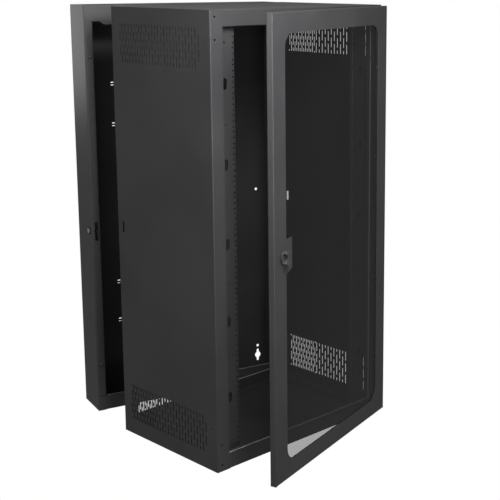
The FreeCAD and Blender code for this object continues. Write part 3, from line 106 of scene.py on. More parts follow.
def facing(turn):
    """Forward direction of a section that is turned about the vertical axis."""
    return Vector((math.sin(turn), -math.cos(turn), 0.0))


def rightwards(turn):
    """Direction to the right of a section that is turned about the vertical axis."""
    return Vector((math.cos(turn), math.sin(turn), 0.0))


# ------------------------------------------------------------------ node helpers
def linear(code):
    """Linear RGBA of an sRGB hex colour such as '#2b2b2d'."""
    channels = [int(code[i:i + 2], 16) / 255 for i in (1, 3, 5)]
    return [c / 12.92 if c <= 0.04045 else ((c + 0.055) / 1.055) ** 2.4 for c in channels] + [1.0]


def add(tree, kind, links=(), **settings):
    """Adds a node; settings name its properties or its sockets, links pair a socket with a source."""
    made = tree.nodes.new(kind)
    for name, value in settings.items():
        if hasattr(made, name):
            setattr(made, name, value)
        else:
            made.inputs[name.replace("_", " ")].default_value = value
    for socket, source in links:
        tree.links.new(source, made.inputs[socket])
    return made


def emptied(owner):
    """Node tree of a material or world, without nodes."""
    owner.use_nodes = True
    owner.node_tree.nodes.clear()
    return owner.node_tree


def grained(name, size, depth, colours, roughness, patch):
    """Material with a grain as bump, colour and roughness that drifts slowly over patches, and its shader.

    The grain's size and depth and the patch are in metres; colours and roughness are (least, most) pairs.
    """
    material = bpy.data.materials.new(name)
    tree = emptied(material)
    place = add(tree, "ShaderNodeTexCoord").outputs["Object"]
    shader = add(tree, "ShaderNodeBsdfPrincipled")
    add(tree, "ShaderNodeOutputMaterial", [("Surface", shader.outputs[0])])
    grain = add(tree, "ShaderNodeTexNoise", [("Vector", place)], Scale=1 / size, Detail=3.0)
    drift = add(tree, "ShaderNodeTexNoise", [("Vector", place)], Scale=1 / patch, Detail=2.0)
    tone = add(tree, "ShaderNodeMapRange", [("Value", drift.outputs["Fac"])],
               From_Min=0.3, From_Max=0.7, To_Min=0.0, To_Max=0.6)
    speck = add(tree, "ShaderNodeMath",
                [(0, tone.outputs[0]), (1, grain.outputs["Fac"])], operation="ADD")
    colour = add(tree, "ShaderNodeMix", [("Factor", speck.outputs[0])], data_type="RGBA")
    colour.inputs[6].default_value = linear(colours[0])
    colour.inputs[7].default_value = linear(colours[1])
    rough = add(tree, "ShaderNodeMapRange", [("Value", grain.outputs["Fac"])],
                From_Min=0.3, From_Max=0.7, To_Min=roughness[0], To_Max=roughness[1])
    bump = add(tree, "ShaderNodeBump", [("Height", grain.outputs["Fac"])], Strength=0.35, Distance=depth)
    tree.links.new(colour.outputs[2], shader.inputs["Base Color"])
    tree.links.new(rough.outputs[0], shader.inputs["Roughness"])
    tree.links.new(bump.outputs[0], shader.inputs["Normal"])
    return material, shader


# ------------------------------------------------------------------ finishes
def powder_coat():
    """Baked black polyester powder: a matt sheen broken by fine leather-like orange peel."""
    look = bpy.context.scene.cabinet_finishes
    # the real texture is about 0.3 mm across; it is drawn at 1.2 mm so that it shows close up
    material, shader = grained("Powder coated steel, fine texture black", size=1.2 * MM, depth=0.03 * MM,
                               colours=(look.coat_dark, look.coat_light), patch=180.0 * MM,
                               roughness=(look.coat_roughness - 0.05, look.coat_roughness + 0.07))
    shader.inputs["Specular IOR Level"].default_value = 0.5
    return material


def zinc_plate():
    """Bright zinc plated steel: bluish metal with a faint cloudy bloom."""
    material, shader = grained("Zinc plated steel", size=2.0 * MM, depth=0.01 * MM, patch=12.0 * MM,
                               colours=("#a9adb1", "#c9ccd0"), roughness=(0.25, 0.42))
    shader.inputs["Metallic"].default_value = 1.0
    return material


def chrome_plate():
    """Polished chrome plate on a die-cast lock: a clear mirror with slight handling haze."""
    material, shader = grained("Chrome plated zinc alloy", size=1.2 * MM, depth=0.004 * MM, patch=10.0 * MM,
                               colours=("#c8c9cb", "#e3e4e6"), roughness=(0.08, 0.2))
    shader.inputs["Metallic"].default_value = 1.0
    return material


def moulded_plastic():
    """Injection moulded charcoal ABS: satin with a very light spark-eroded grain."""
    return grained("Moulded ABS, satin charcoal", size=0.9 * MM, depth=0.03 * MM, patch=30.0 * MM,
                   colours=("#2c2c2e", "#3a3a3c"), roughness=(0.3, 0.42))[0]


def lock_gasket():
    """Black fibre plate under a lock's head: dull and very dark, so the bright lock stands out."""
    return grained("Black fibre gasket", size=1.0 * MM, depth=0.03 * MM, patch=20.0 * MM,
                   colours=("#080808", "#101011"), roughness=(0.6, 0.75))[0]


def painted_edge_highlight():
    """Powder coat over a rolled edge, drawn light grey as a painted highlight, so the edge shows as a light line.
    """
    return grained("Powder coated rolled edge", size=1.2 * MM, depth=0.02 * MM, patch=20.0 * MM,
                   colours=("#6c6c6e", "#858587"), roughness=(0.25, 0.35))[0]


def rubber():
    """Moulded rubber bumper: dull black, slightly grey where it is handled."""
    return grained("Moulded rubber", size=1.1 * MM, depth=0.05 * MM, patch=20.0 * MM,
                   colours=("#1b1b1c", "#2b2b2c"), roughness=(0.3, 0.42))[0]


def nylon():
    """Natural nylon bushing: milky and a little waxy."""
    material, shader = grained("Natural nylon", size=1.0 * MM, depth=0.02 * MM, patch=20.0 * MM,
                               colours=("#d9d6cc", "#ebe8df"), roughness=(0.4, 0.55))
    shader.inputs["Subsurface Weight"].default_value = 0.1
    shader.inputs["Subsurface Scale"].default_value = 1.0 * MM
    return material


def smoked_acrylic():
    """Cast acrylic sheet, smoke tinted: clear, dark and evenly glossy."""
    tint = bpy.context.scene.cabinet_finishes.acrylic_tint
    material = bpy.data.materials.new("Smoke tinted acrylic")
    tree = emptied(material)
    place = add(tree, "ShaderNodeTexCoord").outputs["Object"]
    drift = add(tree, "ShaderNodeTexNoise", [("Vector", place)], Scale=6.0, Detail=1.0)
    rough = add(tree, "ShaderNodeMapRange", [("Value", drift.outputs["Fac"])], To_Min=0.02, To_Max=0.06)
    # light that passes through is dimmed by the tint at each face and not bent, as by a thin flat pane
    through = add(tree, "ShaderNodeBsdfTransparent", Color=linear(tint))
    gloss = add(tree, "ShaderNodeBsdfGlossy", [("Roughness", rough.outputs[0])])
    slope = add(tree, "ShaderNodeLayerWeight", Blend=0.5)
    grazing = add(tree, "ShaderNodeMath", [(0, slope.outputs["Facing"])], operation="POWER")
    grazing.inputs[1].default_value = 5.0
    share = add(tree, "ShaderNodeMapRange", [("Value", grazing.outputs[0])], To_Min=0.04, To_Max=1.0)
    pane = add(tree, "ShaderNodeMixShader",
               [(0, share.outputs[0]), (1, through.outputs[0]), (2, gloss.outputs[0])])
    add(tree, "ShaderNodeOutputMaterial", [("Surface", pane.outputs[0])])
    return material


FINISHES = {
    "black_powder_coat": powder_coat,
    "zinc_plated_steel": zinc_plate,
    "chrome_plate": chrome_plate,
    "black_rubber": rubber,
    "black_plastic": moulded_plastic,
    "white_nylon": nylon,
    "smoked_acrylic": smoked_acrylic,
    "lock_gasket": lock_gasket,
    # painted highlight: the light grey finish of the rolled edge rods
    "painted_edge_highlight": painted_edge_highlight,
}
# nodes whose finish is a variant of their record slot
VARIANTS = {"rear_lock_plate": "lock_gasket"}
_made = {}


def finish(slot_name):
    """The material of a record slot, made once."""
    if slot_name not in _made:
        _made[slot_name] = FINISHES[slot_name]()
    return _made[slot_name]


def paint(node, slot_name):
    """Gives a CAD node one finish."""
    data = NODES[node].data
    data.materials.clear()
    data.materials.append(finish(slot_name))


# ------------------------------------------------------------------ mesh helpers
def merged(node):
    """Copy of a node's mesh with its doubles merged."""
    mesh = bmesh.new()
    mesh.from_mesh(NODES[node].data)
    bmesh.ops.remove_doubles(mesh, verts=mesh.verts, dist=SAME_POINT)
    return mesh


def loose_parts(node):
    """Vertex positions of each separate solid in a node."""
    mesh = merged(node)
    parts, seen = [], set()
    for start in mesh.verts:
        if start in seen:
            continue
        seen.add(start)
        stack, found = [start], []
        while stack:
            vert = stack.pop()
            found.append(vert.co.copy())
            for edge in vert.link_edges:
                other = edge.other_vert(vert)
                if other not in seen:
                    seen.add(other)
                    stack.append(other)
        parts.append(found)
    mesh.free()
    return parts


def head_end(points, outward):
    """Centre of a solid's outermost end along a direction, and its length that way."""
    side = outward.orthogonal().normalized()
    up = outward.cross(side)
    spans = [sorted(axis.dot(p) for p in points) for axis in (side, up, outward)]
    middle = side * (spans[0][0] + spans[0][-1]) / 2 + up * (spans[1][0] + spans[1][-1]) / 2
    return middle + outward * spans[2][-1], spans[2][-1] - spans[2][0]


def lathe(mesh, profile, segments):
    """Closed solid of revolution about z from (radius, height) points that start and end on the axis."""
    rings = []
    for radius, height in profile:
        if radius < SAME_POINT:
            rings.append([mesh.verts.new((0.0, 0.0, height))])
            continue
        rings.append([mesh.verts.new((radius * math.cos(a), radius * math.sin(a), height))
                      for a in [math.tau * k / segments for k in range(segments)]])
    for low, high in zip(rings, rings[1:]):
        for k in range(segments):
            n = (k + 1) % segments
            corners = [low[k % len(low)], low[n % len(low)], high[n % len(high)], high[k % len(high)]]
            unique = list(dict.fromkeys(corners))
            if len(unique) > 2:
                mesh.faces.new(unique)


def linked(name, data):
    """New object with the given data, in the scene's collection."""
    made = bpy.data.objects.new(name, data)
    bpy.context.collection.objects.link(made)
    return made


def object_from(mesh, name, smooth=True):
    """Object of a finished bmesh, at the origin, with its faces turned outwards."""
    bmesh.ops.recalc_face_normals(mesh, faces=mesh.faces)
    data = bpy.data.meshes.new(name)
    mesh.to_mesh(data)
    mesh.free()
    if smooth:
        data.shade_smooth()
        data.set_sharp_from_angle(angle=SMOOTH_ANGLE)
    return linked(name, data)


def baked(source, name):
    """Plain mesh object of what a source's modifiers make; the source is removed."""
    graph = bpy.context.evaluated_depsgraph_get()
    data = bpy.data.meshes.new_from_object(source.evaluated_get(graph))
    data.name = name
    bpy.data.objects.remove(source)
    return linked(name, data)


def start_tree(name, inputs):
    """Geometry nodes group with the given (name, type) inputs and a finish, and its input node."""
    tree = bpy.data.node_groups.new(name, "GeometryNodeTree")
    sockets = (("Geometry", "Geometry"), *inputs, ("Finish", "Material"))
    for socket, kind in sockets:
        tree.interface.new_socket(socket, in_out="INPUT", socket_type="NodeSocket" + kind)
    tree.interface.new_socket("Geometry", in_out="OUTPUT", socket_type="NodeSocketGeometry")
    return tree, add(tree, "NodeGroupInput")


def end_tree(tree, given, shape):
    """Makes the shape real, gives it the finish and ends the tree."""
    whole = add(tree, "GeometryNodeRealizeInstances", [("Geometry", shape.outputs[0])])
    painted = add(tree, "GeometryNodeSetMaterial", [("Geometry", whole.outputs[0]),
                                                    ("Material", given.outputs["Finish"])])
    add(tree, "NodeGroupOutput", [("Geometry", painted.outputs[0])])
    return tree


def grown(name, data, tree, values):
    """Plain mesh object of what a tree makes from a mesh, with its inputs set by identifier."""
    carrier = linked(name, data)
    modifier = carrier.modifiers.new(tree.name, "NODES")
    modifier.node_group = tree
    for socket in tree.interface.items_tree:
        if socket.in_out == "INPUT" and socket.name in values:
            modifier[socket.identifier] = values[socket.name]
    return baked(carrier, name)


def fixing_tree():
    """Geometry nodes that stand a copy of one fixing on every point, along the point's facing."""
    tree, given = start_tree("Place fixings", (("Fixing", "Object"), ("Scale", "Float")))
    fixing = add(tree, "GeometryNodeObjectInfo", [("Object", given.outputs["Fixing"])])
    facing_of = add(tree, "GeometryNodeInputNamedAttribute", data_type="FLOAT_VECTOR", Name="facing")
    turn = add(tree, "FunctionNodeAlignRotationToVector",
               [("Vector", facing_of.outputs["Attribute"])], axis="Z")
    placed = add(tree, "GeometryNodeInstanceOnPoints",
                 [("Points", given.outputs["Geometry"]), ("Instance", fixing.outputs["Geometry"]),
                  ("Rotation", turn.outputs[0]), ("Scale", given.outputs["Scale"])])
    return end_tree(tree, given, placed)


def seats_of(node, outward_of):
    """(seat point, outward direction, length) of each solid; outward_of takes the solid's points."""
    seats = []
    for points in loose_parts(node):
        outward = outward_of(points)
        tip, length = head_end(points, outward)
        seats.append((tip, outward, length))
    return seats


def centre_of(points):
    """Mean of a solid's points."""
    return sum(points, Vector()) / len(points)


def fasten(name, node, seats, build, slot_name, body, carve=None):
    """A fixing on every seat, in place of the CAD node; build makes one fixing and carve cuts it."""
    mesh = bmesh.new()
    build(mesh)
    fixing = object_from(mesh, name + "_master")
    if carve:
        carve(fixing)
    data = bpy.data.meshes.new(name + "_seats")
    data.from_pydata([point for point, _, _ in seats], [], [])
    facing_of = data.attributes.new("facing", "FLOAT_VECTOR", "POINT")
    for value, (_, outward, _) in zip(facing_of.data, seats):
        value.vector = outward
    tree = bpy.data.node_groups.get("Place fixings") or fixing_tree()
    made = grown(name, data, tree, {"Fixing": fixing, "Scale": 1.0, "Finish": finish(slot_name)})
    bpy.data.objects.remove(fixing)
    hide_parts(node)
    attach(made, body)


def reach(node, direction, near=None):
    """Least and greatest extent of a node along a direction, of its points or of those near keeps."""
    values = [direction.dot(v.co) for v in NODES[node].data.vertices if near is None or near(v.co)]
    return min(values), max(values)


def beyond(direction, limit):
    """Test for points that lie further along a direction than a limit."""
    return lambda point: direction.dot(point) > limit


def block(mesh, right, forward, across, ahead, heights):
    """Adds a closed block that spans three (low, high) pairs along right, forward and up."""
    corners = [right * x + forward * y + UP * z for z in heights for y in ahead for x in across]
    verts = [mesh.verts.new(corner) for corner in corners]
    for loop in ((0, 1, 3, 2), (4, 5, 7, 6), (0, 1, 5, 4), (2, 3, 7, 6), (0, 2, 6, 4), (1, 3, 7, 5)):
        mesh.faces.new([verts[k] for k in loop])


def cut_away(target, mesh, itself=False):
    """Cuts a finished bmesh out of an object; itself is for a cutter whose blocks cross."""
    cutter = object_from(mesh, target.name + "_cutter", smooth=False)
    cut = target.modifiers.new("cut", "BOOLEAN")
    cut.object, cut.operation, cut.solver = cutter, "DIFFERENCE", "EXACT"
    cut.use_self = itself
    graph = bpy.context.evaluated_depsgraph_get()
    target.data = bpy.data.meshes.new_from_object(target.evaluated_get(graph))
    target.modifiers.clear()
    bpy.data.objects.remove(cutter)


def coat(piece, body, look="black_powder_coat"):
    """Finishes a piece of coated sheet and rides it on its body."""
    piece.data.materials.append(finish(look))
    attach(piece, body)


# ------------------------------------------------------------------ settings
class CabinetFinishes(bpy.types.PropertyGroup):
    coat_dark: bpy.props.StringProperty(
        name="Coat dark", description="Darker tone of the powder coat",
        default="#28282a")
    coat_light: bpy.props.StringProperty(
        name="Coat light", description="Lighter tone of the powder coat",
        default="#363637")
    coat_roughness: bpy.props.FloatProperty(
        name="Coat roughness", description="Mean roughness of the coat",
        default=0.38, min=0.1, max=1.0)
    acrylic_tint: bpy.props.StringProperty(
        name="Window tint", description="Tint of light at each face of the window",
        default="#d3d3d4")


class FixingSizes(bpy.types.PropertyGroup):
    rivet_head: bpy.props.FloatProperty(
        name="Rivet head radius", description="Blind rivet's flange",
        default=3.6 * MM, unit="LENGTH", precision=5)
    screw_head: bpy.props.FloatProperty(
        name="Screw head radius", description="Pan head of the machine screws",
        default=4.6 * MM, unit="LENGTH", precision=5)
    screw_head_height: bpy.props.FloatProperty(
        name="Screw head height", description="Pan head above its seat",
        default=2.4 * MM, unit="LENGTH", precision=5)
    rivet_cup: bpy.props.FloatProperty(
        name="Rivet cup radius", description="Hollow that the mandrel leaves",
        default=2.2 * MM, unit="LENGTH", precision=5)
    rivet_cup_depth: bpy.props.FloatProperty(
        name="Rivet cup depth", description="Below the top of the head",
        default=3.0 * MM, unit="LENGTH", precision=5)
    shank: bpy.props.FloatProperty(
        name="Shank radius", description="Screws and rivets below the head",
        default=2.4 * MM, unit="LENGTH", precision=5)
    spring_wire: bpy.props.FloatProperty(
        name="Spring wire radius", description="Hinge pin springs",
        default=0.4 * MM, unit="LENGTH", precision=5)
    pin: bpy.props.FloatProperty(
        name="Hinge pin radius", description="Pins inside their springs",
        default=2.5 * MM, unit="LENGTH", precision=5)
    nut: bpy.props.FloatProperty(
        name="Nut radius", description="Acorn nuts of the window, over their corners",
        default=3.9 * MM, unit="LENGTH", precision=5)
    bumper: bpy.props.FloatProperty(
        name="Bumper radius", description="Rubber bumpers of the wall section",
        default=5.0 * MM, unit="LENGTH", precision=5)
    edge: bpy.props.FloatProperty(
        name="Edge radius", description="Rolled edges of the bottom rails and the right stile",
        default=1.5 * MM, unit="LENGTH", precision=5)
    joint: bpy.props.FloatProperty(
        name="Butt joint", description="Open joint of the wall section's sheets",
        default=1.2 * MM, unit="LENGTH", precision=5)
    spring_turns: bpy.props.IntProperty(
        name="Spring turns", description="Coils of each hinge pin spring",
        default=9, min=3)


class StudioSettings(bpy.types.PropertyGroup):
    camera_azimuth: bpy.props.FloatProperty(
        name="Camera azimuth", description="From straight ahead, towards the right",
        subtype="ANGLE", default=math.radians(-30.356))
    camera_elevation: bpy.props.FloatProperty(
        name="Camera elevation", description="Above the horizon",
        default=math.radians(10.68), subtype="ANGLE")
    camera_place: bpy.props.FloatVectorProperty(
        name="Camera place", description="In the cabinet's frame",
        default=(-1.3904, -3.3354, 0.7216), subtype="TRANSLATION", unit="LENGTH")
    camera_lens: bpy.props.FloatProperty(
        name="Focal length", description="In millimetres on a 36 mm sensor",
        default=80.72)
    camera_shift: bpy.props.FloatVectorProperty(
        name="Camera shift", description="Across and up, of the frame's width",
        size=2, default=(-0.1507, -0.1333))
    fill: bpy.props.FloatProperty(
        name="Fill", description="Strength of the even light from all round",
        default=0.19, min=0.0)
    floor_drop: bpy.props.FloatProperty(
        name="Floor below cabinet", description="Height the cabinet hangs above the floor",
        default=0.9, unit="LENGTH")


# ------------------------------------------------------------------ operators
class CABINET_OT_finishes(bpy.types.Operator):
    """Gives every part of the cabinet the finish its record slot names"""
    bl_idname = "cabinet.finishes"
    bl_label = "Finish the parts"

    def execute(self, context):
        for node, slot_name in SLOTS.items():
            paint(node, VARIANTS.get(node, slot_name))
        return {"FINISHED"}


def outwards_from_cabinet(point):
    """Side direction away from the rack section's middle plane."""
    side = rightwards(CABINET_TURN)
    low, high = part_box("bottom_panel")
    middle = (Vector(low) + Vector(high)) / 2
    return side if (point - middle).dot(side) > 0 else -side


class CABINET_OT_rivets(bpy.types.Operator):
    """Blind rivets of the rack section's sides and of the wall section's hinge ears"""
    bl_idname = "cabinet.rivets"
    bl_label = "Rivets"

    def execute(self, context):
        sizes = context.scene.cabinet_fixings
        head, shank = sizes.rivet_head, sizes.shank
        cup, deep = sizes.rivet_cup, sizes.rivet_cup_depth

        def blind_rivet(mesh, height, length):
            foot = height - length
            lathe(mesh, [(0.0, foot), (shank, foot), (shank, -height), (head, -height),
                         (head * 0.98, -height * 0.6), (head * 0.9, -height * 0.5),
                         (cup * 1.08, -height * 0.5), (cup, -height * 0.62), (cup * 0.96, -deep),
                         (cup * 0.5, -deep), (cup * 0.42, -deep * 0.8), (0.0, -deep * 0.8)],
                  RIVET_FACETS)

        # name, node, outward direction of a solid's points, body, height of the head
        jobs = (
            ("side_rivets", "frame_rivets",
             lambda points: outwards_from_cabinet(centre_of(points)), "cabinet", 0.9 * MM),
            ("hinge_ear_rivets", "swing_ear_rivets",
             lambda points: -rightwards(0.0), "wall_section", 1.8 * MM),
        )
        for name, node, outward_of, body, height in jobs:
            seats = seats_of(node, outward_of)
            # a rivet as long as its solid, and never shorter than 2.5 times its head's height
            length = max(seats[0][2], height * 2.5)
            fasten(name, node, seats, lambda mesh: blind_rivet(mesh, height, length),
                   "black_powder_coat", body)
        return {"FINISHED"}


class CABINET_OT_screws(bpy.types.Operator):
    """Cross recess pan head screws of the door's hinge brackets and of the rack rails"""
    bl_idname = "cabinet.screws"
    bl_label = "Screws"

    def execute(self, context):
        sizes = context.scene.cabinet_fixings
        head, height = sizes.screw_head, sizes.screw_head_height
        # name, node, outward direction of a solid's points
        jobs = (
            ("hinge_bracket_screws", "door_bracket_screws", lambda points: facing(CABINET_TURN)),
            ("rack_rail_screws", "rail_bolts", rail_screw_direction),
        )
        for name, node, outward_of in jobs:
            seats = seats_of(node, outward_of)
            length = seats[-1][2]
            fasten(name, node, seats, lambda mesh: pan_head(mesh, head, height, sizes.shank, length),
                   "zinc_plated_steel", "cabinet", lambda fixing: cross_recess(fixing, head, height))
        return {"FINISHED"}


def pan_head(mesh, radius, height, shank, length):
    """Pan head screw with its top at the origin and its shank down the z axis."""
    lathe(mesh, [(0.0, -length), (shank * 0.8, -length), (shank, -length + shank * 0.4), (shank, -height),
                 (radius, -height), (radius, -height * 0.62), (radius * 0.93, -height * 0.3),
                 (radius * 0.72, -height * 0.06), (radius * 0.4, 0.0), (0.0, 0.0)], SCREW_FACETS)


def cross_recess(fixing, radius, height):
    """Cuts a tapered cross recess into a fixing's head."""
    mesh = bmesh.new()
    arm, half, deep = radius * 0.52, radius * 0.14, height * 0.62
    above = height * 0.2            # the cutter stands this far out of the head
    floor_share = 0.55              # an arm's length at the recess's floor, of that at the top
    for quarter in range(2):
        ring = []
        for z, share in ((-deep, floor_share), (above, 1.0)):
            for x, y in ((-1, -1), (1, -1), (1, 1), (-1, 1)):
                place = Vector((x * arm * share, y * half, z))
                place.rotate(Matrix.Rotation(quarter * math.pi / 2, 3, "Z"))
                ring.append(mesh.verts.new(place))
        mesh.faces.new(ring[3::-1])
        mesh.faces.new(ring[4:])
        for k in range(4):
            n = (k + 1) % 4
            mesh.faces.new((ring[k], ring[n], ring[4 + n], ring[4 + k]))
    cut_away(fixing, mesh, itself=True)


def rail_screw_direction(points):
    """Outward direction of a rail screw: up or down for the feet, sideways for the rails' webs."""
    low = Vector([min(p[k] for p in points) for k in range(3)])
    high = Vector([max(p[k] for p in points) for k in range(3)])
    centre = (low + high) / 2
    head_radius = bpy.context.scene.cabinet_fixings.screw_head
    slack = 0.3 * MM
    # a screw that lies on its side is as tall as its head is wide
    if abs(high.z - low.z - 2 * head_radius) > slack:
        return UP if centre.z < 0 else -UP
    return outwards_from_cabinet(centre)


class CABINET_OT_welds(bpy.types.Operator):
    """Ground welds where the stiles of the front frame and of the wall section meet their rails"""
    bl_idname = "cabinet.welds"
    bl_label = "Ground welds"

    def execute(self, context):
        skin = 0.02 * MM            # each weld starts this far under the face
        # name, turn, body, stiles with the side their inner edge is on, rails
        sections = (
            ("front_frame_ground_welds", CABINET_TURN, "cabinet",
             (("front_stile_left", 1), ("front_stile_right", -1)), ("top_panel", "bottom_panel")),
            ("wall_section_ground_welds", 0.0, "wall_section",
             (("rear_side_left", 1), ("rear_side_right", -1)), ("rear_top", "rear_bottom")),
        )
        for name, turn, body, stiles, rails in sections:
            forward, right = facing(turn), rightwards(turn)
            mesh = bmesh.new()
            for stile, inner in stiles:
                face = reach(stile, forward)[1]
                front = beyond(forward, face - ON_FACE)
                edge = reach(stile, right, front)[1 if inner > 0 else 0]
                for rail in rails:
                    heights = reach(rail, UP, front)
                    across = sorted((edge - inner * skin, edge + inner * (BEND + skin)))
                    block(mesh, right, forward, across, (face - BEND / 2, face - skin), heights)
            coat(object_from(mesh, name, smooth=False), body)
        return {"FINISHED"}


def roll(name, body, radius, start, end):
    """Adds the rolled edge of a sheet, a slim rod between two points, in the light grey finish of a painted
    highlight.
    """
    turn = (end - start).to_track_quat("Z", "Y")
    angles = [math.tau * k / EDGE_FACETS for k in range(EDGE_FACETS)]
    ring = [turn @ Vector((radius * math.cos(a), radius * math.sin(a), 0.0)) for a in angles]
    mesh = bmesh.new()
    ends = [[mesh.verts.new(place + point) for point in ring] for place in (start, end)]
    for k in range(EDGE_FACETS):
        mesh.faces.new((ends[0][k - 1], ends[0][k], ends[1][k], ends[1][k - 1]))
    for cap in ends:
        mesh.faces.new(cap)
    # the light grey finish paints the highlight that the bend would catch
    coat(object_from(mesh, name), body, "painted_edge_highlight")


class CABINET_OT_painted_edge_highlights(bpy.types.Operator):
    """Rolled edges of the bottom rails and of the right stile, drawn light grey as painted highlight lines"""
    bl_idname = "cabinet.rolled_edges"
    bl_label = "Rolled edges"

    def execute(self, context):
        radius = context.scene.cabinet_fixings.edge
        sunk = radius * 0.4         # depth of the rod's axis inside the sheet's corner
        inset = 4.0 * MM            # each edge ends this far inside its rail
        # name, node, turn, body, front or back, and how deep its bend is
        hems = (
            ("wall_section_hem", "rear_bottom", 0.0, "wall_section", 1, ON_FACE),
            ("rack_section_back_hem", "bottom_panel", CABINET_TURN, "cabinet", -1, ON_FACE),
            ("rack_section_front_hem", "bottom_panel", CABINET_TURN, "cabinet", 1, BEND_DEPTH),
        )
        for name, node, turn, body, side, depth in hems:
            forward, right = facing(turn) * side, rightwards(turn)
            face = reach(node, forward)[1]
            rim = beyond(forward, face - depth)
            top = reach(node, UP, rim)[1] - sunk
            start, end = reach(node, right, rim)
            line = forward * (face - radius) + UP * top
            roll(name, body, radius, line + right * (start + inset), line + right * (end - inset))

        # the right stile's inner edge, from rail to rail, as a painted highlight line; the left stile gets none
        forward, right = facing(CABINET_TURN), rightwards(CABINET_TURN)
        face = reach("front_stile_right", forward)[1]
        rim = beyond(forward, face - BEND_DEPTH)
        inner = reach("front_stile_right", right, rim)[0] + sunk
        line = right * inner + forward * (face - radius)
        foot, head = reach("bottom_panel", UP, rim)[1], reach("top_panel", UP, rim)[0]
        roll("front_stile_edge", "cabinet", radius, line + UP * foot, line + UP * head)
        return {"FINISHED"}


def recut(node, name, body, cuts):
    """The node's own mesh with blocks cut away, as a piece that replaces it."""
    own = merged(node)
    data = bpy.data.meshes.new(name)
    own.to_mesh(data)
    own.free()
    data.materials.append(finish(SLOTS[node]))
    piece = linked(name, data)
    mesh = bmesh.new()
    for cut in cuts:
        block(mesh, rightwards(0.0), facing(0.0), *cut)
    cut_away(piece, mesh)
    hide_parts(node)
    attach(piece, body)


class CABINET_OT_wall_joints(bpy.types.Operator):
    """Open joints of the wall section's left flange with its rails, and the lower rail's low lip"""
    bl_idname = "cabinet.wall_joints"
    bl_label = "Wall section joints"

    def execute(self, context):
        joint = context.scene.cabinet_fixings.joint
        spare = 1.0 * MM            # each cut starts this far outside the sheet
        deep = 1.6 * MM             # just through the flange's sheet
        lip_depth = 12.0 * MM       # the lower rail's lip lies within this of its face
        lip_rise = 0.3 * MM         # what is left of that lip above the rail's top edge
        low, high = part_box("rear_side_left")
        face = -low[1]
        front = beyond(facing(0.0), face - ON_FACE)
        rail_top = reach("rear_bottom", UP, front)[1]
        rail_foot = reach("rear_top", UP, front)[0]
        flange = (low[0] + BEND, high[0] + spare)
        ahead = (face - deep, face + spare)
        recut("rear_side_left", "wall_section_left_side", "wall_section",
              [(flange, ahead, (rail_top, rail_top + joint)),
               (flange, ahead, (rail_foot - joint, rail_foot))])
        low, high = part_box("rear_bottom")
        recut("rear_bottom", "wall_section_lower_rail", "wall_section",
              [((low[0] - joint, high[0] + joint), (face - lip_depth, face + joint),
                (rail_top + lip_rise, high[2] + joint))])
        return {"FINISHED"}


class CABINET_OT_bumpers(bpy.types.Operator):
    """Domed rubber bumpers on the wall section's front flange"""
    bl_idname = "cabinet.bumpers"
    bl_label = "Bumpers"

    def execute(self, context):
        radius = context.scene.cabinet_fixings.bumper
        seats = seats_of("rear_bumpers", lambda points: facing(0.0))
        height = seats[0][2]
        steps = 8

        def dome(mesh):
            angles = [math.pi / 2 * k / steps for k in range(steps)]
            arc = [(radius * math.cos(a), -height * 0.45 * (1 - math.sin(a))) for a in angles]
            lathe(mesh, [(0.0, -height), (radius, -height)] + arc + [(0.0, 0.0)], BUMPER_FACETS)

        fasten("rubber_bumpers", "rear_bumpers", seats, dome, "black_rubber", "wall_section")
        return {"FINISHED"}


class CABINET_OT_window_nuts(bpy.types.Operator):
    """Acorn nuts that hold the window's retainers"""
    bl_idname = "cabinet.window_nuts"
    bl_label = "Window nuts"

    def execute(self, context):
        width = context.scene.cabinet_fixings.nut
        seats = seats_of("retainer_nuts", lambda points: -facing(DOOR_TURN))
        height = seats[0][2]

        def acorn_nut(mesh):
            lathe(mesh, [(0.0, -height), (width * 0.93, -height), (width, -height * 0.93),
                         (width, -height * 0.52), (width * 0.86, -height * 0.42), (0.0, -height * 0.42)],
                  NUT_SIDES)
            lathe(mesh, [(0.0, -height * 0.5), (width * 0.8, -height * 0.5), (width * 0.8, -height * 0.4),
                         (width * 0.68, -height * 0.18), (width * 0.42, -height * 0.04), (0.0, 0.0)],
                  NUT_DOME_FACETS)

        fasten("window_retainer_nuts", "retainer_nuts", seats, acorn_nut, "zinc_plated_steel", "door")
        return {"FINISHED"}


def spring_tree():
    """Geometry nodes for a coil spring: a spiral swept with round wire."""
    measures = ("Turns", "Radius", "Height", "Wire")
    tree, given = start_tree("Coil spring", [(name, "Float") for name in measures])
    turns, radius, height, wire_radius = (given.outputs[name] for name in measures)
    spiral = add(tree, "GeometryNodeCurveSpiral",
                 [("Rotations", turns), ("Start Radius", radius), ("End Radius", radius),
                  ("Height", height)], Resolution=20)
    wire = add(tree, "GeometryNodeCurvePrimitiveCircle", [("Radius", wire_radius)], Resolution=8)
    swept = add(tree, "GeometryNodeCurveToMesh",
                [("Curve", spiral.outputs[0]), ("Profile Curve", wire.outputs[0])], Fill_Caps=True)
    return end_tree(tree, given, swept)


